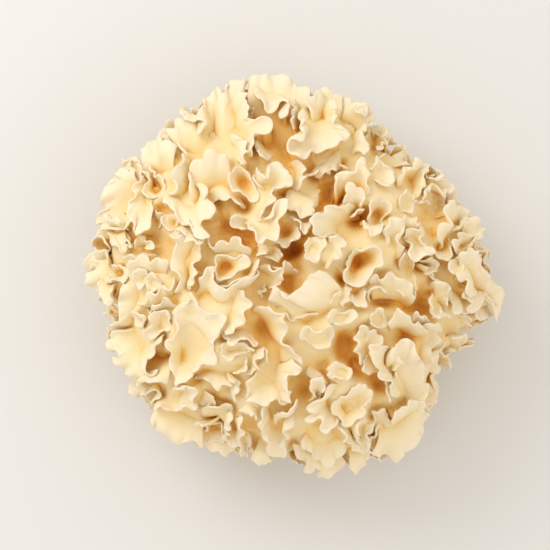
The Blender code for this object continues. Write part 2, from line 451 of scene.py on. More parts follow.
# Margins as seen from above, each "px,py px,py ..." with the mm that it lies under the
# envelope, and the px, py and mm under of the middle of its root. Ones in POCKETS are
# the closed mouths of hollows. A point can give its own depth as a third number.
MARGINS = [
    ("256,95 262,103 269,108 276,107 282,103 288,104 291,110 288,116 283,120", 4, (273, 89, 12)),
    ("181,114 186,121 192,124 198,121 203,124 205,130 201,136", 5, (192, 110, 12)),
    ("307,404 313.5,397 311,388 315,381 320.5,377.5 324,384 326,391 325.5,400", 5, (317, 397, 9)),
    ("95,217 101,213.5 108,213 115,215 121,219", 5, (110, 223, 9)),
    ("118,170.5 124,169.5 130,168.5 134,169", 6, (127, 180, 10)),
    ("238,133.5 243,134.5 247,138 248.5,144 249,151 248,158 245,163", 2, (235, 147, 6)),
    ("231.5,414 232.5,421 232,429 230,437 229,443", 5, (223, 428, 9)),
    ("368,303 370,297 374,292 380,290.5 385,293.5 388,299", 7, (378, 279, 10)),
    ("348.5,285 350,290 350.8,295 349.5,301 348,305.5", 5, (340, 295, 7)),
    ("240,417 250.5,417 257,419 259.5,422.5", 4, (249, 407, 9)),
    ("244,418 245.5,429 244,440 247,445", 4, (234, 431, 9)),
    ("250.5,462 257,465 264,465.5 270,463", 6, (261, 451, 11)),
    ("364,226.5 367,231 374.5,234.5 382.5,233 387,229.5", 2, (374, 222, 8)),
    ("211,209 216,203.5 222,200.5 228,200 234,202 240,207 246,211", 11, (226, 189, 17)),
    ("390.5,417 392,412.5 396,409.5 402,407 406.5,403.5 410,400 414,398", 3, (406, 421, 9)),
    ("363.5,419 362.5,428 362,437 363,446", 2, (353, 432, 7)),
    ("298.5,230 299.5,236 296,242 290,246.5 283.5,249.5 278.5,250 275,248", 5, (287, 233, 12)),
    ("288.5,219 293,223.5 298,230.5 303,233.5 308,231.5 311.5,227.5", 4, (302, 221, 9)),
    ("277.5,246 281,250 281.5,255 280.5,260 277.5,264 273,264 270.5,261", 6, (269, 252, 11)),
    ("263,243.5 268,246 270,250.5 268,255.5 263,257", 3.5, (258, 250, 9)),
# back left
    ("122,157 133,157 140,162 142,170 141,178", 9, (126, 176, 24)),
    ("118,170 112,173 105,178 101,186 100,195 101,204 99,210 94,212 92,219 96,227 104,229 115,229 125,231", 6, (131, 198, 22)),
    ("141,172 136,180 131,188 129,197 126,206 126,216 129,226 136,233 144,234 150,229 152,220 153,212", 3, (145, 194, 16)),
    ("137,153 143,144 150,138 157,136 166,138 176,140", 6, (158, 172, 22)),
    ("178,141 180,150 178,159 172,170 170,182 166,192 160,202", 2, (186, 180, 20)),
    ("189,186 190,176 188,167 193,159 200,153 209,150 218,150 227,154 232,163", 3, (216, 202, 24)),
    ("163,203 170,211 177,218 184,228 192,231 200,238 206,240 203,232 206,224 212,217 215,208 210,200 207,193", 3, (186, 194, 12)),
    ("152,213 157,210 162,213 163,220 160,227", 8, (158, 222, 20)),
    # back
    ("170,130 178,122 186,116 193,112 198,105 203,101 206,96 212,91 218,89", 7, (205, 142, 22)),
    ("219,91 224,91 228,85 232,81 238,80 244,79 248,75", 6, (226, 140, 22)),
    ("246,86 247,96 248,105 251,114 258,117 264,119 268,123 267,128 261,132 256,139 254,147 256,155", 1, (237, 128, 18)),
    ("250,75 256,73 262,75 268,73 273,76 280,75 287,76 293,79 298,82 303,86 308,90", 6, (274, 150, 26)),
    ("290,95 292,102 292,110 289,118 288,126", 3, (301, 114, 16)),
    ("299,116 300,125 301,133 303,141 296,142 291,148 292,154 297,159 304,159 313,155 321,152 331,149 341,145 348,140 348,134 342,129 339,122 337,114 336,106", 2, (319, 112, 14)),
    ("303,97 310,92 318,90 322,86 327,82 331,85 336,90 341,92", 5, (326, 116, 20)),
    ("343,94 348,93 353,95 357,99 364,101 370,107 374,114 376,120 371,124 367,129 366,136 370,143 373,150 371,157", 4, (351, 130, 18)),
    ("353,101 360,100 367,103 369,109 365,113 358,112 354,108", 3, (361, 106, 12)),
    ("258,168 263,172 270,171 271,165 276,160 283,161 289,167 292,176 290,184 283,189 278,196 275,203 270,210 263,218", 2, (262, 192, 14)),
    ("300,160 305,165 308,172 309,180 305,186 299,190", 4, (293, 175, 16)),
    ("286,198 285,204 287,210 292,215 300,218 308,218 313,214 316,209", 7, (305, 188, 16)),
    ("243,222 247,229 253,236 260,242 268,242 275,239 279,232 281,224 284,216 286,208 285,200 281,201 278,206 274,212 268,217 261,220", 1, (262, 224, 13)),
    ("243,217 237,215 233,219 233,226 237,230 243,229", 5, (245, 222, 16)),
    ("345,201 337,202 329,204 321,210 315,216 311,223 311,230 316,234 324,234", 2, (347, 226, 19)),
    ("344,205 344,195 345,187 352,184 359,185 365,190 367,197 362,201", 1, (356, 204, 13)),
    ("336,183 336,174 340,168 346,166 352,165 357,159 364,157 369,161 371,168 370,176 369,183", 3, (353, 192, 16)),
    ("372,168 376,160 380,153 385,157 391,164 395,172 395,180 390,186 383,187 377,184", 3, (379, 173, 12)),
    ("372,124 380,122 388,126 391,133 389,142 385,149 378,152", 11, (378, 137, 26)),
    ("313,178 320,176 327,177 334,175 338,169", 12, (329, 158, 24)),
    ("268,160 262,158 256,150 253,142", 4, (268, 146, 20)),
    # right
    ("400,175 405,168 412,164 415,163 419,158 425,157 430,161 430,170 429,180 428,188 424,193", 6, (408, 186, 22)),
    ("424,200 425,192 433,190 441,192 449,197 455,191 456,184 451,178 444,180 436,182", 5, (434, 184, 18)),
    ("438,238 438,230 440,223 447,221 449,215 445,209 446,203 452,198 459,199 466,203 472,210 471,216 466,220", 4, (456, 232, 16)),
    ("465,222 467,217 472,214 478,216 483,221 485,227 484,233 479,238 474,242", 4, (461, 238, 16)),
    ("455,249 452,243 455,236 461,231 468,231 474,235", 5, (466, 252, 16)),
    ("463,262 460,255 462,248 469,245 476,248 482,254 486,262 491,270 497,279 503,288 508,296", 3, (474, 284, 18)),
    ("461,252 456,258 453,264 455,271 459,279 464,284 462,291 464,298", 4, (477, 274, 16)),
    ("465,285 464,293 466,301 470,309 475,311 481,308 487,302 491,301 495,307 499,314 503,318 508,312 510,304 507,296", 5, (484, 289, 18)),
    ("448,300 450,308 456,312 464,315 472,319 482,320 494,320", 11, (462, 290, 24)),
    ("388,233 384,226 384,219 389,215 396,214 402,217 405,222 404,230 401,237 404,244", 1, (393, 246, 13)),
    ("402,238 406,232 411,228 418,227 424,227 426,231 424,238 427,244 434,249 437,255 431,257 424,257 420,261 415,259 411,253 409,246 404,242", 4, (414, 238, 14)),
    ("400,219 404,214 411,213 417,215 420,221 424,226", 4, (410, 233, 16)),
    ("368,277 372,273 377,273 380,276 387,274 393,271 399,275 403,276 409,275 413,279 413,285 416,290", 5, (391, 300, 20)),
    ("432,282 436,275 443,277 448,281 450,288 451,297 448,305 443,311", 7, (438, 302, 20)),
    ("421,259 429,256 436,259 439,265 437,271 430,273 424,273", 9, (428, 266, 24)),
    ("400,263 401,255 404,250 408,248 411,253 413,260", 7, (407, 268, 20)),
    ("451,242 455,249 453,257 446,261 439,259 436,254", 8, (444, 246, 22)),
    ("430,302 432,309 431,316 436,321 440,320 438,313 443,310", 7, (438, 300, 20)),
    ("416,282 417,291 413,297 406,297 400,299 396,297", 7, (406, 280, 20)),
    # left
    ("108,246 115,247 121,251 127,249 131,247 130,240", 10, (119, 230, 24)),
    ("81,259 84,254 90,250 95,252 100,248 105,250 109,257", 9, (100, 270, 24)),
    ("92,262 90,270 84,275 82,281 85,287 91,291 98,290", 9, (108, 272, 22)),
    ("98,291 97,297 99,303 103,307 108,306 112,301 114,294", 8, (107, 284, 18)),
    ("121,257 127,253 133,254 140,252 148,251 154,253", 6, (136, 264, 18)),
    ("127,272 126,265 131,258 138,256 146,254 152,256 158,254 163,257 168,260", 3, (149, 278, 16)),
    ("133,302 140,296 148,292 158,289 166,286 171,280 173,272", 2, (162, 304, 14)),
    ("142,312 150,306 158,303 164,299 170,300 176,303", 2, (158, 314, 14)),
    ("121,285 116,292 113,299 115,306 113,313 114,319 110,323 106,329 109,334", 5, (136, 310, 18)),
    ("110,334 106,341 106,348 110,353 117,356 112,361 117,368 124,373 129,378 132,385 141,386 150,385 158,383 166,385", 4, (147, 352, 16)),
    ("164,336 159,344 154,351 150,359 149,368 153,373 161,373", 3, (137, 364, 18)),
    ("183,229 176,231 169,232 168,240 168,248 167,257 169,265 172,273 173,281 171,289", 1, (190, 264, 14)),
    ("176,232 179,240 184,246 191,247 198,246 202,242", 1, (190, 230, 8)),
    ("199,243 200,252 199,262 198,272 195,282 194,291", 1, (186, 268, 13)),
    ("195,282 201,272 208,268 214,265 217,271 217,280 222,285 232,283 242,277 250,272 257,265", 1, (214, 302, 14)),
    ("203,235 208,239 213,243 217,240 222,237 228,239 233,236 239,236 244,242 250,245", 3, (228, 258, 16)),
    ("131,247 133,240 135,234 142,236 150,240 152,247 145,248", 6, (142, 244, 16)),
    ("237,284 244,291 248,300 250,309 248,318 243,326 236,331 230,337", 1, (226, 306, 12)),
    ("222,338 228,345 235,345 242,341 250,345 257,350", 3, (238, 328, 14)),
    # middle
    ("333,236 338,233 344,234 348,239 348,246 344,252 341,257 335,261 329,265 325,270", 0, (331, 249, 10)),
    ("322,271 314,268 309,272 305,279 300,286 292,293 285,294 279,289 272,286 268,290 266,298 266,304", 1, (334, 316, 17)),
    ("366,327 360,333 354,340 351,347 354,354 359,361 362,367", 5, (368, 346, 18)),
    ("266,262 272,264 278,266 283,271 284,278 280,284 273,286", 3, (267, 277, 14)),
    ("262,304 270,303 277,307 284,311 286,320 288,332 289,342 293,349 299,354 303,361 301,369", 1, (266, 334, 22)),
    ("303,361 299,371 292,378 290,386 293,393 296,402", 2, (272, 380, 18)),
    ("251,377 248,384 243,390 246,396 248,403 254,403 262,406 270,404 278,404 283,409 288,406 291,399", 4, (268, 379, 18)),
    ("262,347 263,354 260,361 261,367 257,374 252,378 248,374", 3, (249, 362, 14)),
    ("348,305 352,309 360,311 367,308 370,300 368,294", 5, (358, 292, 16)),
    ("273,263 278,266 284,262 290,258 295,262 299,267", 7, (287, 277, 20)),
    ("222,283 231,284 239,282 247,277 253,271 258,264 257,256", 1, (238, 290, 10)),
    # lower right
    ("384,345 376,343 369,343 366,350 368,357 372,364 377,371 382,378 386,387 388,396", 2, (397, 371, 16)),
    ("397,348 396,342 400,338 406,337 412,340 416,347 420,354 424,361 427,369 429,377 433,384 430,391 427,397 421,401 413,403", 3, (396, 388, 20)),
    ("399,345 400,352 404,357 405,363 402,369", 3, (388, 362, 14)),
    ("388,317 392,312 398,309 404,310 409,313 413,318 420,321 428,322", 3, (406, 334, 16)),
    ("431,321 438,323 445,322 447,329 443,338 439,346 437,354 437,363 435,371 431,376", 5, (420, 344, 18)),
    ("411,318 415,313 420,313 426,316 431,321", 6, (419, 329, 18)),
    ("373,452 378,464 386,460 394,466 402,463 409,453 417,446 425,437 430,424 428,412 425,401", 8, (402, 420, 20)),
    ("372,421 374,413 380,409 387,412 390,419", 9, (382, 428, 22)),
    # front
    ("127,394 130,400 136,401 142,397 149,393 155,397 157,404 155,411", 7, (150, 384, 22)),
    ("178,391 186,388 194,388 199,393 199,402 194,409 186,413 177,413 168,411 160,409 155,412", 2, (170, 395, 18)),
    ("153,413 150,421 151,431 154,440 158,449 164,457 170,452 177,447 186,445 194,443 201,448", 6, (180, 416, 20)),
    ("193,384 200,384 207,388 215,391 222,390 228,386 233,388 238,394", 8, (222, 370, 20)),
    ("227,440 228,447 236,449 243,455 249,460 250,452 247,445", 10, (238, 428, 24)),
    ("262,416 259,422 259,430 261,438 260,443 264,446 268,452 272,457 278,459 284,456 282,450 283,442 287,434 292,427", 5, (279, 416, 20)),
    ("275,413 281,411 288,410 294,405 298,399", 4, (284, 424, 18)),
    ("308,377 314,381 320,377 324,378 326,385 328,391", 9, (317, 364, 24)),
    ("326,388 320,395 313,401 306,408 305,414 307,419 303,424 310,424 318,424 322,430 327,434 332,428 334,423", 3, (336, 402, 16)),
    ("334,424 333,429 338,435 344,442 350,448 356,454 363,458 371,458 372,450 374,440 377,432 379,427", 4, (357, 430, 14)),
    ("300,445 304,452 310,458 316,464 325,467 334,466 342,461 348,454", 9, (322, 440, 24)),
    ("288,447 291,454 297,460 302,468 308,480 314,476 320,478 326,482 333,478 341,474 347,466", 12, (318, 452, 26)),
    ("348,464 350,474 357,474 363,470 368,462 371,458", 11, (358, 452, 24)),
    ("200,450 208,450 214,452 221,454 230,456 238,451", 10, (216, 436, 24)),
    ("203,404 212,402 222,403 229,407 232,415", 9, (216, 420, 22)),
]
POCKETS = [
    ("142,160 149,164 156,171 162,179 163,187 158,193 151,195 144,191 141,184 142,175 142,167", 6, (151, 182, 27)),
    ("175,178 177,172 181,170 185,176 186,184 182,190 176,188", 6, (180, 180, 22)),
    ("229,172 236,166 243,165 249,172 253,182 256,193 257,200 250,200 241,195 233,190 228,182", 3, (243, 183, 24)),
    ("163,216 170,215 176,218 177,225 172,229 166,227 162,221", 6, (170, 222, 18)),
    ("372,204 370,213 371,222 375,229 381,226 384,217 389,211 394,205 388,198 380,196", 3, (378, 214, 22)),
    ("402,192 406,189 412,190 416,196 417,205 414,212 408,214 402,210 400,202", 5, (407, 199, 17)),
    ("352,256 358,252 366,250 375,249 383,250 385,257 383,265 377,273 370,280 362,286 355,289 349,286 345,279 346,270 348,262", 1, (358, 261, 25)),
    ("90,243 93,237 99,234 105,236 110,242 108,249 101,251 94,249", 9, (99, 244, 30)),
    ("104,271 106,278 110,284 116,286 122,285 126,279 127,273 122,267 113,266 107,267", 8, (115, 273, 26)),
    ("127,272 128,280 133,286 139,287 143,283 144,276 141,270 134,268", 2, (137, 277, 10)),
    ("144,276 150,273 156,278 159,285 156,291 149,293 143,288", 2, (151, 283, 13)),
    ("131,309 130,317 132,325 138,329 143,325 145,318 142,312 137,308", 2, (137, 319, 11)),
    ("150,313 146,321 143,329 143,337 149,339 156,337 163,333 168,327 171,320 169,312 160,309", 1, (157, 324, 10)),
    ("192,290 193,297 186,301 178,305 173,311 174,318 176,325 172,333 165,341 164,349 168,357 168,367 170,377 175,387 182,390 188,383 197,374 207,369 218,367 219,357 217,346 220,337 227,329 231,320 228,311 218,308 207,306 198,301", 1, (187, 348, 18)),
    ("222,251 219,259 217,268 216,276 219,281 226,279 233,274 239,270 246,267 252,262 247,256 239,252 231,250", 3, (223, 268, 24)),
    ("232,322 226,328 221,335 226,336 232,331 236,325", 3, (229, 330, 12)),
    ("220,347 220,355 224,362 231,364 237,359 243,355 250,353 256,351 250,348 241,345 232,346 226,343", 3, (230, 352, 14)),
    ("304,258 304,249 306,241 313,236 322,234 329,235 328,243 325,251 320,258 312,261", 1, (314, 248, 9)),
    ("296,340 300,338 305,341 309,346 316,351 323,351 330,348 334,342 337,335 336,329 330,327 324,331 316,333 309,330 303,328", 2, (318, 339, 13)),
    ("328,323 327,316 331,310 338,309 346,311 354,311 361,316 358,322 350,325 342,328 335,327", 3, (341, 317, 12)),
    ("325,378 325,371 328,366 334,361 341,361 347,366 352,371 353,377 346,380 338,380", 3, (343, 374, 16)),
    ("370,321 371,314 377,309 384,308 388,315 389,323 386,330 378,327", 4, (378, 318, 16)),
    ("352,386 360,382 368,382 373,388 374,396 368,402 365,410 363,419 357,426 349,429 341,427 336,421 332,412 334,402 340,394 346,390", 1, (350, 411, 17)),
    ("200,432 205,424 212,421 220,423 224,430 225,440 220,447 210,448 202,445 199,438", 9, (212, 433, 28)),
]


# ---- where the margins run ---------------------------------------------------------
flesh = Flesh()
owner = []                 # which branch each sheet grows on


def branch_of(p):
    return int(np.argmax(AXES @ unit(np.asarray(p, float) - HUB)))


def sheet(rim, knee, **more):
    flesh.add(rim, knee, seed=len(owner), **more)
    owner.append(branch_of(np.mean(np.array(rim, float), 0)))


def in_view(p):
    d = np.atleast_2d(p) - EYE
    t = DISTANCE / PIXEL / -(d @ BACK)
    return np.stack([275 + (d @ RIGHT) * t, 275 - (d @ UP) * t], 1)


traced_at, faces_seen, rounded = [], [], []
for closed, entries in ((False, MARGINS), (True, POCKETS)):
    for text, under, knee in entries:
        at = [[float(q) for q in word.split(",")] for word in text.split()]
        rng = np.random.default_rng(len(owner) + 500)
        waver = 1.3 * np.sin(np.linspace(0, rng.uniform(4, 9), len(at)) + rng.uniform(0, 6))
        if closed:
            # one side of a hollow's mouth lies lower than the other
            low = rng.uniform(0, 2 * math.pi)
            turn = np.arctan2([a[1] - knee[1] for a in at], [a[0] - knee[0] for a in at])
            waver = rng.uniform(1.5, 3.2) * (1 + np.cos(turn - low)) + 0.8 * np.sin(3 * turn + low)
        if not closed:
            # the ends of a margin sink into the flesh beside it
            walk = np.concatenate([[0], np.cumsum(np.hypot(*np.diff([a[:2] for a in at], axis=0).T))]) * PIXEL
            waver = waver + 3.8 * (np.exp(-walk / 2.2) + np.exp(-(walk[-1] - walk) / 2.2))
        rim = [place(a[0], a[1], max(0.3, (a[2] if len(a) > 2 else under) + w)) for a, w in zip(at, waver)]
        high = float(np.mean([a[2] if len(a) > 2 else under for a in at]))
        knee = (knee[0], knee[1], high + (0.55 if closed else 0.66) * (knee[2] - high))
        traced_at.append(curve_through([(a[0], a[1], 0) for a in at], closed, 40)[0][:, :2])
        if closed:
            faces_seen.append(traced_at[-1])
            rounded.append(True)
            sheet(rim, place(*knee), closed=True, width=0.4, waist=0.6, growth=0.34)
        else:
            faces_seen.append(np.vstack([traced_at[-1], [knee[:2]]]))
            # a margin that runs round its hollow ends in a narrow root, and a straight one in a wide root
            turn = np.unwrap(np.arctan2(traced_at[-1][:, 1] - knee[1], traced_at[-1][:, 0] - knee[0]))
            round_it = float(smooth(2.0, 4.2, abs(turn[-1] - turn[0])))
            sheet(rim, place(*knee), growth=0.60, ruffle=1.8, waist=0.9 - 0.68 * round_it, width=0.75 - 0.63 * round_it,
                  free_knee=8.0)
            rounded.append(round_it > 0.5)
traced_at = np.vstack(traced_at)
traced = len(owner)


def on_seen_face(at, only_round=False):
    """Whether each of these places in the view is on a face or in a hollow of a sheet above."""
    hit = np.zeros(len(at), bool)
    for ring, is_round in zip(faces_seen, rounded):
        if only_round and not is_round:
            continue
        near = np.flatnonzero(((at > ring.min(0)) & (at < ring.max(0))).all(1))
        a = ring[None] - at[near][:, None]
        b = np.roll(a, -1, 1)
        turn = np.arctan2(a[..., 0] * b[..., 1] - a[..., 1] * b[..., 0], (a * b).sum(-1)).sum(1)
        hit[near] |= np.abs(turn) > 3
    return hit


def contours(value, level):
    """Polylines, in grid steps, along which value is level."""
    n, m = value.shape
    above = value > level
    links = {}

    def cross(i, j, p, q):
        a, b = value[i, j], value[p, q]
        return (i, j, p, q), (level - a) / (b - a)

    shares = {}
    mixed = np.argwhere((above[:-1, :-1] != above[1:, :-1]) | (above[:-1, :-1] != above[:-1, 1:]) | (above[:-1, :-1] != above[1:, 1:]))
    for i, j in mixed:
        ends = []
        for a, b, c, d in ((i, j, i + 1, j), (i + 1, j, i + 1, j + 1), (i, j + 1, i + 1, j + 1), (i, j, i, j + 1)):
            if above[a, b] != above[c, d] and np.isfinite(value[a, b]) and np.isfinite(value[c, d]):
                key, t = cross(a, b, c, d)
                shares[key] = t
                ends.append(key)
        for p, q in zip(ends[::2], ends[1::2]):
            links.setdefault(p, []).append(q)
            links.setdefault(q, []).append(p)
    lines = []
    left = dict.fromkeys(sorted(links, key=lambda k: (len(links[k]), k)))
    while left:
        start = next(iter(left))
        line = [start]
        del left[start]
        while True:
            on = [k for k in links[line[-1]] if k in left]
            if not on:
                break
            line.append(on[0])
            del left[on[0]]
        closed = len(line) > 3 and start in links[line[-1]]
        points = [((a + (c - a) * shares[a, b, c, d]), (b + (d - b) * shares[a, b, c, d])) for a, b, c, d in line]
        lines.append((np.array(points), closed))
    return lines


def directions(grid_points, cell, half):
    p = (grid_points * cell - half) / 100
    theta = np.linalg.norm(p, axis=-1)
    phi = np.arctan2(p[..., 1], p[..., 0])
    return np.stack([np.sin(theta) * np.cos(phi), np.sin(theta) * np.sin(phi), np.cos(theta)], -1), theta


def fill_in(seed, wavelength, under, deep, keep, cut=(26, 44), shortest=13.0, lean=(2, 9), **more):
    """Sheets whose margins wander over the envelope and never cross. keep says where they may run."""
    half, cell = 215.0, 2.0
    n = int(2 * half / cell) + 1
    g = np.stack(np.meshgrid(np.arange(n), np.arange(n), indexing="ij"), -1).astype(float)
    d, theta = directions(g, cell, half)
    value = field_on(d, wavelength, seed)
    value[theta > math.radians(121)] = np.nan
    rng = np.random.default_rng(seed)
    for line, closed in contours(value, 0.0):
        if len(line) < 6:
            continue
        d, theta = directions(line, cell, half)
        p = HUB + d * reach(d)[:, None]
        ring = np.vstack([p, p[:1]]) if closed else p
        walk = np.concatenate([[0], np.cumsum(np.linalg.norm(np.diff(ring, axis=0), axis=1))])
        total = walk[-1]
        if total < shortest:
            continue
        s = np.linspace(0, total, max(8, int(total / 1.5)))
        fits = keep(np.stack([np.interp(s, walk, ring[:, k]) for k in range(3)], 1))
        if closed and total < 52 and fits.all():
            parts = [(0.0, total, True)]
        else:
            edge = np.flatnonzero(np.diff(np.concatenate([[0], fits.astype(int), [0]])))
            parts = []
            for a, b in zip(edge[::2], edge[1::2]):
                a, b = s[a], s[b - 1]
                if b - a < shortest:
                    continue
                count = max(1, int(round((b - a) / rng.uniform(*cut))))
                marks = a + (np.arange(count + 1) + np.concatenate([[0], rng.uniform(-0.22, 0.22, count - 1), [0]])) * (b - a) / count
                parts += [(m, k, False) for m, k in zip(marks, marks[1:])]
        for a, b, whole in parts:
            s_part = np.linspace(a, b, max(5, int((b - a) / 5)) + (1 if whole else 0))
            q = np.stack([np.interp(s_part, walk, ring[:, k]) for k in range(3)], 1)
            if whole:
                q = q[:-1]
            out = unit(q.mean(0) - HUB)
            middle = HUB + out * reach(out[None])[0]
            lower = rng.uniform(*under) + 1.6 * np.sin(np.linspace(0, rng.uniform(3, 8), len(q)) + rng.uniform(0, 6))
            rim = q - unit(q - HUB) * lower[:, None]
            aside = unit(np.cross(out, rng.normal(size=3)))
            knee = middle - out * rng.uniform(*deep) + aside * rng.uniform(*lean)
            if rim[:, 2].mean() < 24:
                knee[2] = max(knee[2], 14)
            rim[:, 2] = np.maximum(rim[:, 2], 4.5)
            sheet(rim, knee, closed=whole, **more)
            filled_at.append(in_view(rim))


def clear_of_traced(gap, on_top, others=()):
    """Points at least gap px from the margins above, on the upper side of the head or on the rest of it."""
    def keep(p):
        at = in_view(p)
        apart = np.sqrt(((at[:, None] - traced_at[None]) ** 2).sum(-1).min(1))
        top = (p[:, 2] > 57) & (apart < 16)
        if len(others):
            apart = np.minimum(apart, np.sqrt(((at[:, None] - others[None]) ** 2).sum(-1).min(1)) - 3)
        if not on_top:
            return ~top
        hole = (np.linalg.norm(at[:, None] - DIPS[None, :, :2], axis=-1) < DIPS[:, 2] * 0.9).any(1)
        return top & (apart > gap) & ~hole & ~on_seen_face(at)
    return keep


filled_at = []
fill_in(11, 17.5, (0.5, 5.0), (11, 16), clear_of_traced(0, False), growth=0.48, ruffle=1.3, spacing=2.05)
outer = len(owner)
filled_at.clear()
fill_in(29, 16.0, (5.5, 9.5), (13, 17), clear_of_traced(1.0, True), cut=(28, 52), shortest=9.0, lean=(5, 11), growth=0.45,
        spacing=2.1)
fill_in(53, 13.0, (4.0, 7.0), (10, 13), clear_of_traced(3.0, True, np.vstack(filled_at)), cut=(22, 36), shortest=6.5,
        lean=(4, 8), growth=0.5, ruffle=1.3, spacing=2.1)
flesh.done()
grown = grow(flesh)


# what lies between the traced margins stays under their faces, so that the faces are whole
upper = (flesh.sheet[flesh.tris[:, 0]] < traced) & (flesh.uv[flesh.tris, 1].min(1) > 0.3)
faces_above = BVHTree.FromPolygons([Vector(q) for q in grown], flesh.tris[upper].tolist())


def below_faces(p, deeper):
    """Points that stand in front of a face in the view, moved down behind it."""
    p = p.copy()
    down = Vector(-BACK)
    on_face = on_seen_face(in_view(p)) & (p[:, 2] > 45)
    for k in np.flatnonzero(on_face):
        at, left, last = Vector(p[k]), 24.0, None
        while left > 0:
            hit, _, _, far = faces_above.ray_cast(at, down, left)
            if hit is None:
                break
            last, at, left = hit, hit + down * 0.05, left - far - 0.05
        if last is not None:
            p[k] = last + down * deeper
    return p


inner = (flesh.sheet[flesh.tris[:, 0]] < traced) & (flesh.uv[flesh.tris, 1].min(1) > 0.3) & (flesh.uv[flesh.tris, 1].max(1) < 0.8)
faces_inner = BVHTree.FromPolygons([Vector(q) for q in grown], flesh.tris[inner].tolist())


def backed(d, far, near_hub):
    """How far from the hub the lowest face lies in each direction, or nan where there is none."""
    found = np.full(len(d), np.nan)
    hub = Vector(HUB)
    for k in range(len(d)):
        way = Vector(d[k])
        at, left = hub + way * near_hub, float(far[k]) + 4 - near_hub
        hit, _, _, _ = faces_inner.ray_cast(at, way, left)
        if hit is not None:
            found[k] = (hit - hub).length
    return found


fillers = flesh.sheet >= traced
grown[fillers] = below_faces(grown[fillers], 1.6)

# ---- the flesh as seen between the margins: every face runs on until it passes under a rim ----
STEP = 2.0                 # px between the places of the relief
wide = np.arange(40, 552, STEP)
place_x, place_y = (q.ravel() for q in np.meshgrid(wide, wide, indexing="ij"))
shape = (len(wide), len(wide))


def many_at_height(px, py, z):
    d = -BACK * DISTANCE + RIGHT * ((px - 275) * PIXEL)[:, None] + UP * ((275 - py) * PIXEL)[:, None]
    return EYE + d * ((z - EYE[2]) / d[:, 2])[:, None]


def envelope_under(px, py, under):
    z = np.full(len(px), 90.0)
    for _ in range(14):
        p = many_at_height(px, py, z)
        z = 0.5 * z + 0.5 * (head_z(p[:, 0], p[:, 1]) - under)
    return many_at_height(px, py, z)


def level_of(p):
    return (p - HUB) @ BACK


def dip_at(d):
    """1 in the deep places between the lobes, and how much painted shade darkens them."""
    inside, dip_shade = np.zeros(len(d)), np.zeros(len(d))
    for way, (_, _, radius, more) in zip(DIP_WAYS, DIPS):
        apart = np.linalg.norm(d - way, axis=-1) * 95
        here = np.exp(-(apart / (radius * PIXEL)) ** 4)
        inside, dip_shade = np.maximum(inside, here), np.maximum(dip_shade, here * min(1, more / 11))
    return inside, dip_shade


ways = unit(envelope_under(place_x, place_y, 10.0) - HUB)
base = level_of(envelope_under(place_x, place_y, floor_under(ways) + 0.5)) + 1.5 * field_on(ways, 15.0, 411)
face_level, face_v, face_of = np.full(len(place_x), -1e3), np.full(len(place_x), -1.0), np.full(len(place_x), -1)
face_side = np.full(len(place_x), 99.0)
v_of = flesh.uv[flesh.tris[upper], 1].mean(1)
side_of = (np.minimum(flesh.uv[:, 0], 1 - flesh.uv[:, 0]) * flesh.facts[flesh.sheet, 2])[flesh.tris[upper]].mean(1)
sheet_at = flesh.sheet[flesh.tris[upper, 0]]
starts = many_at_height(place_x, place_y, np.full(len(place_x), 130.0))
rays = unit(starts - EYE)
for k in range(len(place_x)):
    hit, _, face, _ = faces_above.ray_cast(Vector(starts[k]), Vector(rays[k]), 120.0)
    if hit is not None:
        face_level[k], face_v[k], face_of[k], face_side[k] = (np.array(hit) - HUB) @ BACK, v_of[face], sheet_at[face], side_of[face]
grid = lambda q: q.reshape(shape)
face_level, face_v, base_level = grid(face_level), grid(face_v), grid(base)
hollow = grid((face_of >= len(MARGINS)) & (face_of < traced))
at_side = grid(smooth(4.0, 1.5, face_side)) * ~hollow * (face_v > 0)
spring = (face_v > 0) & ((face_v < 0.78) | hollow | ((at_side > 0.3) & (face_v < 0.9)))    # where a face goes on beside it
barred = (face_v > 0) & ~spring                         # the margins themselves
dip = grid(dip_at(ways)[0])
level = np.where(spring, face_level - np.where(hollow & (face_v > 0.78), 0.7, 0), base_level)
fixed = spring | barred | (dip > 0.5)
open_here = (~barred).astype(float)
pull = (STEP * PIXEL / 11.0) ** 2
for _ in range(420):
    total, count = pull * base_level, np.full(shape, pull)
    for axis in (0, 1):
        for side in (1, -1):
            total = total + np.roll(level * open_here, side, axis)
            count = count + np.roll(open_here, side, axis)
    level = np.where(fixed, level, total / count)
# a margin stands clear of what passes under it
near = np.where(barred, face_level, 1e3)
clear = near.copy()
for ring_at in range(1, 4):
    around_it = near.copy()
    for axis in (0, 1):
        for side in (1, -1):
            around_it = np.minimum(around_it, np.roll(near, side, axis))
    near = around_it
    clear = np.minimum(clear, np.where(near < 1e3, near + 0.0, 1e3))
level = np.where(spring | barred, level, np.minimum(level, clear - 4.5))
sunk = np.interp(face_v, [0.0, 0.30, 0.82, 1.0], [-0.8, -0.5, 1.7, 6.0])
sunk = np.where(hollow, np.interp(face_v, [0.0, 0.30, 1.0], [-0.5, -0.3, 0.8]), sunk)
sunk = sunk * (1 - at_side * smooth(0.96, 0.86, face_v)) - 0.6 * at_side * smooth(0.96, 0.86, face_v)
level = np.where(face_v > 0, face_level - sunk, level)
for _ in range(4):
    beside = sum(np.roll(level, side, axis) for axis in (0, 1) for side in (1, -1)) / 4
    level = np.where(face_v > 0, level, level * 0.5 + beside * 0.5)
beside = sum(np.roll(level, side, axis) for axis in (0, 1) for side in (1, -1)) / 4
level = level * 0.6 + beside * 0.4


def relief_at(at):
    q = (at - wide[0]) / STEP
    q = np.clip(q, 0, len(wide) - 1.001)
    i = np.floor(q).astype(int)
    f = q - i
    i, j, fi, fj = i[:, 0], i[:, 1], f[:, 0], f[:, 1]
    return (level[i, j] * (1 - fi) * (1 - fj) + level[i + 1, j] * fi * (1 - fj)
            + level[i, j + 1] * (1 - fi) * fj + level[i + 1, j + 1] * fi * fj)


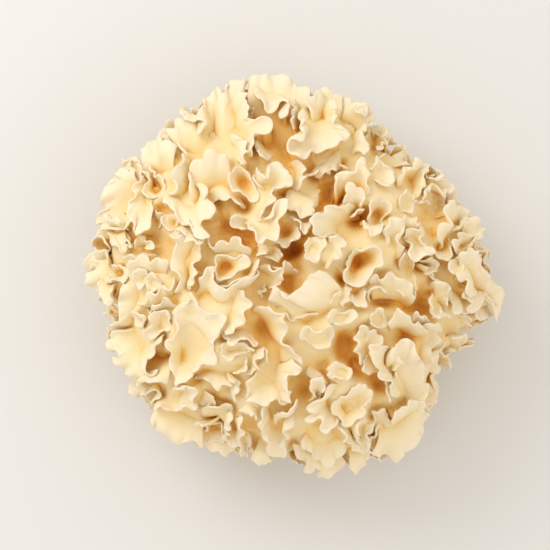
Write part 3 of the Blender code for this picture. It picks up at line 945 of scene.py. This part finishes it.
def onto_relief(d, far):
    """How far from the hub the seen flesh lies in each direction."""
    found = np.full(len(d), 45.0)
    last, looking = None, np.ones(len(d), bool)
    for under in np.arange(0.0, 52.0, 0.7):
        r = far - under
        p = HUB + d * r[:, None]
        above = level_of(p) - relief_at(in_view(p))
        hit = looking & (above <= 0)
        if last is not None:
            found[hit] = (r + 0.7 * (-above) / np.maximum(last - above, 1e-6))[hit]
        else:
            found[hit] = r[hit]
        looking &= ~hit
        last = above
    return np.maximum(found, 45.0)


# ---- from the grown sheets to solid lobes -------------------------------------------
depth_of = flesh.facts[flesh.sheet, 0]
to_rim = (1 - flesh.uv[:, 1]) * depth_of
columns = np.stack([to_rim, np.random.default_rng(5).uniform(size=len(flesh.facts))[flesh.sheet]], 1)
columns = np.hstack([columns, (flesh.uv[:, :1] * flesh.facts[flesh.sheet, 2:3])])
points, tris, columns, source = finer(grown, flesh.tris, columns)
sheet_of = flesh.sheet[source]


def scallop(x, tris, to_rim, along, which):
    """Small uneven waves in the last few millimetres of each margin."""
    normal = facing(x, tris)
    kind = np.random.default_rng(91).uniform(0, 2 * math.pi, (int(which.max()) + 1, 6))[which].T
    pitch = 6.0 + 1.4 * np.sin(kind[0])
    phase = 2 * math.pi * along / pitch + kind[1] + 1.3 * np.sin(along / 7.1 + kind[2]) + 0.8 * np.sin(along / 3.9 + kind[3])
    strong = 0.55 + 0.45 * np.sin(along / 5.3 + kind[4])
    near = (1 - smooth(0.0, 7.0, to_rim)) ** 1.5
    e, _, _ = edges_of(tris)
    a, b = e.T
    step = (x[b] - x[a]) * (to_rim[a] - to_rim[b])[:, None]
    outward = unit(spread(len(x), a, step) + spread(len(x), b, step))
    slow = 2 * math.pi * along / (1.25 * pitch) + kind[5] + 1.5 * np.sin(along / 8.3 + kind[1]) + 0.9 * np.sin(along / 4.7 + kind[4])
    much = 0.6 + 0.4 * np.sin(along / 6.9 + kind[2])
    return x + normal * (0.4 * near * strong * np.sin(phase))[:, None] + outward * (0.60 * near * much * np.sin(slow))[:, None]


def flute(x, tris, to_rim):
    """Broad soft folds, most of which run from the root out to the margin."""
    way = unit(x - HUB) * 95
    made = np.random.default_rng(37)
    folds = np.zeros(len(x))
    for _ in range(5):
        turn, bend = unit(made.normal(size=(2, 3))) * 2 * math.pi
        folds += np.sin(way @ turn / made.uniform(10, 15) + made.uniform(0, 2 * math.pi) + 0.8 * np.sin(way @ bend / 31))
    return x + facing(x, tris) * (0.42 * (1 - smooth(5, 24, to_rim)) * folds)[:, None]


points = scallop(flute(points, tris, columns[:, 0]), tris, columns[:, 0], columns[:, 2], sheet_of)
thick = 1.0 + 0.6 * smooth(1.5, 9, columns[:, 0]) + 0.9 * smooth(10, 28, columns[:, 0])
owner = np.array(owner)


def share_angle(axis, side):
    """How far a direction can lean from a branch's axis before another branch is nearer."""
    widest = np.full(len(side), math.radians(55))
    for other in AXES:
        if np.linalg.norm(other - axis) < 1e-6:
            continue
        a, b = (axis - other) @ axis, side @ (axis - other)
        widest = np.where(b < -1e-9, np.minimum(widest, np.arctan2(a, np.maximum(-b, 1e-9))), widest)
    return widest


CORE_SECTION = np.array([
    (0.00, 1.00, 0.00), (0.20, 1.00, 0.34), (0.40, 1.00, 0.72), (0.55, 1.00, 0.98), (0.59, 1.00, 1.014),
    (0.63, 0.93, 1.02), (0.70, 0.78, 0.97), (0.78, 0.62, 0.80), (0.84, 0.55, 0.66), (0.93, 0.53, 0.34), (1.00, 0.53, 0.00)])


rims = grown[flesh.uv[:, 1] > 0.999]
rim_far = np.linalg.norm(rims - HUB, axis=1)
rim_tree = KDTree(len(rims))
for k, way in enumerate(unit(rims - HUB) * 95):
    rim_tree.insert(way, k)
rim_tree.balance()


def valley(d, far):
    """How far under the envelope the flesh lies between the margins, and how far each point is from one."""
    down, away = np.empty(len(d)), np.empty(len(d))
    most = floor_under(d)
    for k, way in enumerate(d * 95):
        near = rim_tree.find_n(way, 5)
        apart = np.array([n[2] for n in near])
        under = far[k] - rim_far[[n[1] for n in near]] + 5.5
        drop = under + max(most[k] - under.min(), 5.0) * (1 - np.exp(-apart / 3.4))
        w = np.exp(-(drop - drop.min()) / 0.5)
        down[k], away[k] = (drop * w).sum() / w.sum(), apart[0]
    return np.minimum(np.maximum(down, 2.5), most), away


def core(axis, seed, around=150, rings=84):
    """The fleshy part of a branch that its lobes grow from: a crown with a ridge under each margin, on a stalk, closed."""
    up = np.array([0, 0, 1.0]) if abs(axis[2]) < 0.9 else np.array([0, 1.0, 0])
    side_a = unit(np.cross(axis, up))
    side_b = np.cross(side_a, axis)
    t = np.linspace(0, 1, rings + 1)[1:-1]
    t = np.interp(t, [0, 0.74, 1], [0, 0.59, 1])
    phi = np.arange(around) * 2 * math.pi / around
    tt, pp = (q.ravel() for q in np.meshgrid(t, phi, indexing="ij"))
    tt, pp = np.append(tt, [0.0, 1.0]), np.append(pp, [0.0, 0.0])
    side = side_a * np.cos(pp)[:, None] + side_b * np.sin(pp)[:, None]
    lean = np.interp(tt, CORE_SECTION[:, 0], CORE_SECTION[:, 2]) * share_angle(axis, side)
    d = unit(axis * np.cos(lean)[:, None] + side * np.sin(lean)[:, None])
    share = np.interp(tt, CORE_SECTION[:, 0], CORE_SECTION[:, 1])
    far = reach(d)
    lumps = field_on(d, 12.0, 300) * 0.3
    down, away = np.full(len(d), 14.0), np.full(len(d), 20.0)
    crown = share > 0.8
    down[crown], away[crown] = valley(d[crown], far[crown])
    r = far - down + lumps
    net = r[:-2].reshape(rings - 1, around)
    soft = 0.5 * smooth(1.2, 4.5, away[:-2]).reshape(rings - 1, around)
    for _ in range(8):
        beside = (np.roll(net, 1, 1) + np.roll(net, -1, 1)) / 4
        beside = beside + (np.vstack([net[:1], net[:-1]]) + np.vstack([net[1:], net[-1:]])) / 4
        net = net * (1 - soft) + beside * soft
    r[:-2] = net.ravel()
    r[-2] = net[0].mean()
    face = backed(d, far, 45.0)
    r = np.where(crown & np.isfinite(face), face - 1.7, r)
    on_top = smooth(0.42, 0.62, d @ BACK) * crown
    seen_flesh = onto_relief(d, far)
    net = seen_flesh[:-2].reshape(rings - 1, around)
    as_found = net
    for _ in range(6):
        beside = (np.roll(net, 1, 1) + np.roll(net, -1, 1)) / 4
        beside = beside + (np.vstack([net[:1], net[:-1]]) + np.vstack([net[1:], net[-1:]])) / 4
        net = np.minimum(net * 0.5 + beside * 0.5, as_found + 0.5)
    seen_flesh[:-2], seen_flesh[-2] = net.ravel(), net[0].mean()
    r = r * (1 - on_top) + seen_flesh * on_top
    r = r * share
    r = np.where(tt > 0.84, 36.8, np.maximum(r, 36.8))
    p = HUB + d * r[:, None]
    p[:, 2] = np.maximum(p[:, 2], 4.0)
    p = np.where(on_top[:, None] > 0.5, p, below_faces(p, 1.8))
    n, last = rings - 1, len(p) - 1
    ids = np.arange(n * around).reshape(n, around)
    a, b = ids[:-1], ids[1:]
    a2, b2 = np.roll(a, -1, 1), np.roll(b, -1, 1)
    faces = np.concatenate([
        np.stack([a, b, a2], -1).reshape(-1, 3), np.stack([a2, b, b2], -1).reshape(-1, 3),
        np.stack([np.full(around, last - 1), ids[0], np.roll(ids[0], -1)], 1),
        np.stack([np.full(around, last), np.roll(ids[-1], -1), ids[-1]], 1)])
    if np.einsum("ij,ij->", p[faces[:, 0]] - HUB, np.cross(p[faces[:, 1]] - p[faces[:, 0]], p[faces[:, 2]] - p[faces[:, 0]])) < 0:
        faces = faces[:, ::-1]
    return p, faces, away


def mesh_object(name, points, faces, data):
    mesh = bpy.data.meshes.new(name)
    mesh.vertices.add(len(points))
    mesh.vertices.foreach_set("co", (points * MM).astype(np.float32).ravel())
    mesh.loops.add(len(faces) * 3)
    mesh.loops.foreach_set("vertex_index", faces.astype(np.int32).ravel())
    mesh.polygons.add(len(faces))
    mesh.polygons.foreach_set("loop_start", (np.arange(len(faces)) * 3).astype(np.int32))
    mesh.polygons.foreach_set("loop_total", np.full(len(faces), 3, np.int32))
    mesh.update(calc_edges=True)
    for key, values in data.items():
        mesh.attributes.new(key, "FLOAT", "POINT").data.foreach_set("value", values.astype(np.float32))
    mesh.shade_smooth()
    made = bpy.data.objects.new(name, mesh)
    bpy.context.scene.collection.objects.link(made)
    return made


# ---- what the flesh looks like --------------------------------------------------------
class Nodes:
    """Short ways to add and link the nodes of one material."""

    def __init__(self, name):
        self.mat = bpy.data.materials.new(name)
        self.mat.use_nodes = True
        self.tree = self.mat.node_tree
        self.link = self.tree.links.new
        self.shader = self.tree.nodes["Principled BSDF"]
        self.place_at = self.node("ShaderNodeNewGeometry").outputs["Position"]

    def node(self, kind, **values):
        made = self.tree.nodes.new(kind)
        for key, value in values.items():
            if key.startswith("in_"):
                made.inputs[int(key[3:])].default_value = value
            else:
                setattr(made, key, value)
        return made

    def attribute(self, name):
        return self.node("ShaderNodeAttribute", attribute_name=name).outputs["Fac"]

    def noise(self, scale, detail, rough=0.5, where=None):
        made = self.node("ShaderNodeTexNoise")
        made.inputs["Scale"].default_value = scale
        made.inputs["Detail"].default_value = detail
        made.inputs["Roughness"].default_value = rough
        self.link(where or self.place_at, made.inputs["Vector"])
        return made.outputs["Fac"]

    def maths(self, operation, a, b=None, c=None):
        made = self.node("ShaderNodeMath", operation=operation)
        for socket, value in zip(made.inputs, (a, b, c)):
            if value is None:
                continue
            if isinstance(value, (int, float)):
                socket.default_value = value
            else:
                self.link(value, socket)
        return made.outputs[0]

    def ramp(self, shade, stops):
        made = self.node("ShaderNodeValToRGB")
        e = made.color_ramp.elements
        for at, colour in stops[1:-1]:
            e.new(at).color = (*colour, 1)
        e[0].position, e[0].color = stops[0][0], (*stops[0][1], 1)
        e[-1].position, e[-1].color = stops[-1][0], (*stops[-1][1], 1)
        self.link(shade, made.inputs["Fac"])
        return made.outputs["Color"]

    def mixed(self, first, second, share):
        """first where share is 0, second where it is 1; either can be an output or a colour."""
        made = self.node("ShaderNodeMix", data_type="RGBA")
        for socket, value in zip([s for s in made.inputs if s.type == "RGBA"], (first, second)):
            if isinstance(value, tuple):
                socket.default_value = (*value, 1)
            else:
                self.link(value, socket)
        self.link(share, made.inputs[0])
        return [s for s in made.outputs if s.type == "RGBA"][0]

    def bump(self, height, strength, distance):
        made = self.node("ShaderNodeBump")
        made.inputs["Strength"].default_value = strength
        made.inputs["Distance"].default_value = distance
        self.link(height, made.inputs["Height"])
        self.link(made.outputs["Normal"], self.shader.inputs["Normal"])

    def between(self, value, low, high, at_low, at_high):
        made = self.node("ShaderNodeMapRange", interpolation_type="SMOOTHSTEP", in_1=low, in_2=high, in_3=at_low, in_4=at_high)
        self.link(value, made.inputs[0])
        return made.outputs[0]


def flesh_material():
    n = Nodes("lobe_flesh")
    to_rim = n.attribute("to_rim")
    # colour: cream at the margins, golden below, amber to brown at the bottom of the hollows. The depth attribute that
    # drives it is partly the flesh turning golder towards its root and partly painted shade in the hollows, under the
    # lobes and between them
    shade = n.maths("ADD", n.attribute("depth"), n.maths("MULTIPLY_ADD", n.noise(70, 4), 0.20, -0.10))
    shade = n.maths("ADD", shade, n.maths("MULTIPLY_ADD", n.attribute("tone"), 0.07, -0.035))
    colour = n.ramp(shade, [(0.0, (0.900, 0.775, 0.575)), (0.16, (0.893, 0.760, 0.498)), (0.30, (0.880, 0.700, 0.366)),
                            (0.42, (0.865, 0.612, 0.245)), (0.56, (0.815, 0.488, 0.120)), (0.75, (0.700, 0.290, 0.040)),
                            (1.0, (0.480, 0.160, 0.015))])
    # a paler, drier edge, and small brown flecks along it
    uneven = n.maths("ADD", to_rim, n.maths("MULTIPLY_ADD", n.noise(260, 2), 1.6, -0.8))
    colour = n.mixed(colour, (0.912, 0.803, 0.600), n.between(uneven, 0.2, 4.5, 0.4, 0.0))
    spots = n.node("ShaderNodeTexVoronoi", feature="F1")
    spots.inputs["Scale"].default_value = 95
    n.link(n.place_at, spots.inputs["Vector"])
    fleck = n.between(n.maths("ADD", spots.outputs["Distance"], n.maths("MULTIPLY", n.noise(900, 2), 0.06)), 0.05, 0.10, 1.0, 0.0)
    some = n.maths("MULTIPLY", n.between(to_rim, 1.0, 4.5, 1.0, 0.0), n.between(n.noise(38, 1), 0.54, 0.60, 0.0, 0.75))
    n.link(n.mixed(colour, (0.30, 0.15, 0.055), n.maths("MULTIPLY", fleck, some)), n.shader.inputs["Base Color"])
    # a waxy, faintly pitted surface
    n.link(n.between(n.noise(120, 3), 0.3, 0.7, 0.40, 0.58), n.shader.inputs["Roughness"])
    height = n.maths("ADD", n.maths("MULTIPLY", n.noise(160, 5, 0.6), 0.7), n.maths("MULTIPLY", n.noise(1100, 3, 0.6), 0.16))
    n.bump(height, 0.35, 0.0012)
    n.shader.inputs["Specular IOR Level"].default_value = 0.32
    return n.mat


def stem_material():
    n = Nodes("stem_flesh")
    cut = n.attribute("cut")
    # fibres run up the side; on the cut they show as rings and rays of softer flesh
    long_way = n.node("ShaderNodeMapping")
    long_way.inputs["Scale"].default_value = (1.0, 1.0, 0.16)
    n.link(n.place_at, long_way.inputs["Vector"])
    fibre = n.noise(330, 5, 0.6, long_way.outputs["Vector"])
    broad = n.noise(42, 3)
    shade = n.maths("ADD", n.maths("MULTIPLY", fibre, 0.55), n.maths("MULTIPLY", broad, 0.45))
    shade = n.maths("ADD", shade, n.maths("MULTIPLY_ADD", n.attribute("groove"), 0.30, -0.08))
    skin = n.ramp(shade, [(0.22, (0.860, 0.680, 0.420)), (0.44, (0.790, 0.570, 0.300)), (0.62, (0.620, 0.385, 0.160)),
                          (0.85, (0.360, 0.190, 0.070))])
    inside = n.ramp(n.noise(95, 5, 0.62), [(0.30, (0.900, 0.780, 0.560)), (0.55, (0.850, 0.680, 0.430)), (0.75, (0.680, 0.470, 0.240))])
    colour = n.mixed(skin, inside, n.between(cut, 0.45, 0.75, 0.0, 1.0))
    # the edge of the cut has browned
    rim = n.maths("MULTIPLY", n.between(cut, 0.30, 0.62, 0.0, 1.0), n.between(cut, 0.66, 0.90, 1.0, 0.0))
    colour = n.mixed(colour, (0.340, 0.185, 0.075), n.maths("MULTIPLY", rim, n.between(n.noise(70, 3), 0.3, 0.6, 0.35, 0.85)))
    # soil caught low on the side
    soil = n.maths("MULTIPLY", n.between(n.noise(150, 4, 0.65), 0.56, 0.66, 0.0, 0.7), n.attribute("low"))
    n.link(n.mixed(colour, (0.150, 0.100, 0.060), soil), n.shader.inputs["Base Color"])
    n.link(n.between(n.noise(140, 3), 0.3, 0.7, 0.58, 0.80), n.shader.inputs["Roughness"])
    n.bump(n.maths("ADD", fibre, n.maths("MULTIPLY", n.noise(700, 3, 0.6), 0.35)), 0.5, 0.0016)
    n.shader.inputs["Specular IOR Level"].default_value = 0.25
    return n.mat


def light_between(solid, weight, cell=2.0):
    """How much of the sky and the ground each place of a grid sees past the flesh, which dims light little by little."""
    low = solid.min(0) - 5 * cell
    size = np.ceil((solid.max(0) + 5 * cell - low) / cell).astype(int) + 1
    q = (solid - low) / cell
    base = np.floor(q).astype(int)
    thick_in = np.zeros(size.prod())
    for k in range(8):
        corner = np.array([k & 1, k >> 1 & 1, k >> 2])
        share = np.abs(1 - corner - (q - base)).prod(1)
        spot = base + corner
        thick_in += np.bincount((spot[:, 0] * size[1] + spot[:, 1]) * size[2] + spot[:, 2], weight * share, size.prod())
    passed = np.exp(-thick_in.reshape(size) / cell ** 2)
    total, sky = np.zeros(size), 0.0
    n = 56
    for k in range(n):
        z = 1 - (k + 0.5) * 2 / n
        turn = k * math.pi * (3 - math.sqrt(5))
        way = np.array([math.cos(turn) * math.sqrt(1 - z * z), math.sin(turn) * math.sqrt(1 - z * z), z])
        much = 1.0 if z > 0 else 0.3
        axis = int(np.argmax(np.abs(way)))
        flow = np.moveaxis(passed, axis, 0)
        into = np.moveaxis(total, axis, 0)
        order = range(len(flow) - 1, -1, -1) if way[axis] > 0 else range(len(flow))
        slope = np.delete(way, axis) / abs(way[axis])
        stretch = 1 / abs(way[axis])
        light = np.ones(flow.shape[1:])
        whole = np.floor(slope).astype(int)
        part = slope - whole
        for i in order:
            into[i] += light * much
            dimmed = np.pad(light * flow[i] ** stretch, 2, constant_values=1.0)
            n0, n1 = light.shape
            light = 0
            for s0 in (0, 1):
                for s1 in (0, 1):
                    share = (part[0] if s0 else 1 - part[0]) * (part[1] if s1 else 1 - part[1])
                    light = light + share * dimmed[2 + whole[0] + s0:2 + whole[0] + s0 + n0, 2 + whole[1] + s1:2 + whole[1] + s1 + n1]
        sky += much
    return total / sky, low, cell


def open_to_light(grid, at):
    total, low, cell = grid
    q = (at - low) / cell
    base = np.floor(q).astype(int)
    seen = np.zeros(len(at))
    for k in range(8):
        corner = np.array([k & 1, k >> 1 & 1, k >> 2])
        spot = base + corner
        seen += total[spot[:, 0], spot[:, 1], spot[:, 2]] * np.abs(1 - corner - (q - base)).prod(1)
    return seen


def areas_of(x, tris):
    size = np.linalg.norm(np.cross(x[tris[:, 1]] - x[tris[:, 0]], x[tris[:, 2]] - x[tris[:, 0]]), axis=1) / 6
    return sum(np.bincount(tris[:, k], size, len(x)) for k in range(3))


# small lobes that would hardly rise out of the flesh are left out
ways = unit(points - HUB)
rises = np.full(len(points), 9.0)
upper = ways @ BACK > 0.5
rises[upper] = np.linalg.norm(points[upper] - HUB, axis=1) - onto_relief(ways[upper], reach(ways[upper]))
stands = np.ones(len(owner), bool)
for which in range(outer, len(owner)):
    rim = (sheet_of == which) & (columns[:, 0] < 1.2)
    apart = np.linalg.norm(in_view(points[rim]).mean(0) - BARE, axis=1).min()
    stands[which] = (rises[rim] > 1.6).mean() > 0.6 and flesh.facts[which, 2] > 9.3 and apart > 9
tris = tris[stands[sheet_of[tris[:, 0]]]]

cores = [core(AXES[index], index) for index in range(len(BRANCHES))]
solid = np.vstack([points] + [p for p, _, _ in cores])
weight = np.concatenate([areas_of(points, tris) * 0.9] + [areas_of(p, f) * 4 for p, f, _ in cores])
light_grid = light_between(solid, weight)
flesh_mat = flesh_material()
for index, (name, _) in enumerate(BRANCHES):
    mine = owner[sheet_of[tris[:, 0]]] == index
    ids, inverse = np.unique(tris[mine], return_inverse=True)
    p, f, src = thicken(points[ids], inverse.reshape(-1, 3), thick[ids])
    p[:, 2] = np.maximum(p[:, 2], 2.6)
    cp, cf, away = cores[index]
    under = np.maximum(0, (1 - head_share(np.vstack([p, cp]))) * 75)
    rimward = np.concatenate([columns[ids][src, 0], 1.0 + 1.3 * away])
    tone = np.concatenate([columns[ids][src, 1], np.full(len(cp), 0.5)])
    every, all_faces = np.vstack([p, cp]), np.vstack([f, cf + len(p)])
    ways = facing(every, all_faces)
    # painted shade: how much sky and ground light reaches each place past the flesh, used below to darken the colour
    # where little light comes
    seen = open_to_light(light_grid, every + ways * 1.8)
    turned = (ways * unit(every - HUB)).sum(1)
    # painted shade: the cores count as further from a margin than they are, so they are coloured a little darker, as if
    # shaded under the rims
    rimward[len(p):] += 4
    # depth drives the colour: the flesh turns golder away from its margin (its own colour), and painted shade is added
    # for places deep under the envelope, places that see little light, and faces turned down or inward from the hub
    depth = (0.22 * (1 - np.exp(-rimward / 8)) + 0.24 * np.minimum(under, 24) / 24 + 0.33 * smooth(0.44, 0.02, seen)
             + 0.24 * smooth(0.25, -0.6, turned))
    # painted shade: the steep flanks of the cores, which stand under the rims, are coloured darker
    flank = smooth(0.75, 0.25, turned[len(p):])
    # the margins of the sheets keep only half of this painted shade, so they stay pale
    depth[:len(p)] *= 0.5 + 0.5 * smooth(0, 5, rimward[:len(p)])
    depth[len(p):] += 0.02 + 0.10 * flank
    # painted shade: the deep places between the lobes are coloured browner
    depth += 0.17 * dip_at(unit(every - HUB))[1] * smooth(1.5, 7, rimward)
    depth *= 0.94
    data = {"to_rim": rimward, "depth": depth, "tone": tone}
    piece = mesh_object(name.replace("branch_", "lobes_"), every, all_faces, data)
    piece.data.materials.append(flesh_mat)
    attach(piece, "root")
    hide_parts(name)

# ---- the stem --------------------------------------------------------------------------
def stem_shape(around=220, rings=120):
    """Short and fleshy: domed where the branches fork from it, fibrous ridges up its side, a flat cut below."""
    a = np.arange(around) / around * 2 * math.pi
    t = np.concatenate([np.linspace(0.02, 0.46, 22), np.linspace(0.47, 0.815, 74), np.linspace(0.83, 0.985, rings - 96)])
    t, a = np.meshgrid(t, a, indexing="ij")
    ribs = 0.035 * (0.5 + 0.5 * np.cos(5 * a + 0.8)) + 0.03 * (0.5 + 0.5 * np.cos(8 * a))
    lean = np.radians(np.minimum(t, 0.64) / 0.64 * 100)
    side = np.clip((t - 0.64) / 0.16, 0, 1)
    r = STEM_TOP_R * np.sin(lean) * (1 - ribs * smooth(0.25, 0.5, t))
    r = np.where(t > 0.64, (STEM_TOP_R * 0.985 * (1 - side) + CUT_R * side) * (1 - ribs), r)
    z = np.where(t > 0.64, (HUB[2] - STEM_TOP_R * 0.174) * (1 - side), HUB[2] + STEM_TOP_R * np.cos(lean) * (1 - ribs * smooth(0.25, 0.5, t)))
    on_side = smooth(0.36, 0.52, t) * smooth(0.80, 0.785, t)
    wander = a + 0.05 * np.sin(z / 5.0 + 3 * a) + 0.03 * np.sin(z / 2.3 + 7 * a)
    groove = (0.5 + 0.5 * np.sin(23 * wander + 1.6 * np.sin(4 * a))) ** 2 * (0.6 + 0.4 * np.sin(3 * a + z / 6))
    fine = (0.5 + 0.5 * np.sin(61 * wander + 2.0 * np.sin(9 * a + z / 4))) ** 2
    folds = 0.5 + 0.5 * np.sin(2.2 * z + 2.5 * np.sin(3 * a) + 1.5 * np.sin(8 * a + 1.0))
    r = r - on_side * (1.5 * groove + 0.55 * fine + 0.45 * folds * smooth(0.55, 0.7, t))
    # the edge of the cut is a little rounded and torn
    edge = smooth(0.765, 0.80, t) * smooth(0.84, 0.80, t)
    r = r - edge * (0.7 + 0.5 * np.sin(31 * wander))
    shrink = np.clip((1 - t) / 0.20, 0, 1)
    r = np.where(t > 0.80, CUT_R * (1 - ribs) * shrink - edge, r)
    z = np.where(t > 0.80, 0, np.maximum(z, 0))
    p = np.stack([r * np.cos(a), r * np.sin(a), z], -1).reshape(-1, 3)
    top, low = len(p), len(p) + 1
    p = np.vstack([p, [[0, 0, HUB[2] + STEM_TOP_R], [0, 0, 0]]])
    i = (np.arange(rings - 1)[:, None] * around + np.arange(around)).ravel()
    j = (np.arange(rings - 1)[:, None] * around + (np.arange(around) + 1) % around).ravel()
    ring, after = np.arange(around), (np.arange(around) + 1) % around
    last = (rings - 1) * around
    faces = np.vstack([np.stack([i, i + around, j + around], 1), np.stack([i, j + around, j], 1),
                       np.stack([np.full(around, top), ring, after], 1), np.stack([np.full(around, low), last + after, last + ring], 1)])
    data = {"cut": np.append(smooth(0.74, 0.88, t).ravel(), [0, 1]), "groove": np.append((on_side * (0.7 * groove + 0.3 * fine)).ravel(), [0, 0]),
            "low": np.append((smooth(10, 1, z) * smooth(0.80, 0.76, t)).ravel(), [0, 0])}
    return p, faces, data


stem = mesh_object("stem_flesh", *stem_shape())
stem.data.materials.append(stem_material())
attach(stem, "root")
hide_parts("stem")

# ---- floor, light and camera -----------------------------------------------------------
floor_mesh = bpy.data.meshes.new("floor")
floor_mesh.from_pydata([(-4, -4, 0), (4, -4, 0), (4, 4, 0), (-4, 4, 0)], [], [(0, 1, 2, 3)])
floor = bpy.data.objects.new("floor", floor_mesh)
bpy.context.scene.collection.objects.link(floor)
floor_mat = bpy.data.materials.new("floor")
floor_mat.use_nodes = True
floor_mat.node_tree.nodes["Principled BSDF"].inputs["Base Color"].default_value = (0.75, 0.75, 0.745, 1)
floor_mat.node_tree.nodes["Principled BSDF"].inputs["Roughness"].default_value = 0.85
floor_mesh.materials.append(floor_mat)


def area_light(name, at, size, watts, colour):
    light = bpy.data.lights.new(name, "AREA")
    light.shape = "DISK"
    light.size = size
    light.energy = watts
    light.color = colour
    made = bpy.data.objects.new(name, light)
    made.location = at
    made.rotation_euler = (Vector((0, 0, 0.06)) - Vector(at)).to_track_quat("-Z", "Y").to_euler()
    bpy.context.scene.collection.objects.link(made)


area_light("key", (-0.62, 0.52, 0.74), 0.8, 4.1, (1.0, 0.99, 0.97))
area_light("fill", (0.9, -0.5, 1.0), 1.2, 1.6, (1.0, 0.97, 0.93))
world = bpy.data.worlds.new("studio")
world.use_nodes = True
world.node_tree.nodes["Background"].inputs["Color"].default_value = (1.0, 0.955, 0.885, 1)
world.node_tree.nodes["Background"].inputs["Strength"].default_value = 0.93
bpy.context.scene.world = world
bpy.context.scene.view_settings.view_transform = "Standard"

camera_data = bpy.data.cameras.new("camera")
camera_data.sensor_width = 36
camera_data.lens = 36 * DISTANCE / (550 * PIXEL)
camera = bpy.data.objects.new("camera", camera_data)
camera.location = Vector(EYE * MM)
camera.rotation_euler = Vector(-BACK).to_track_quat("-Z", "Y").to_euler()
bpy.context.scene.collection.objects.link(camera)
bpy.context.scene.camera = camera
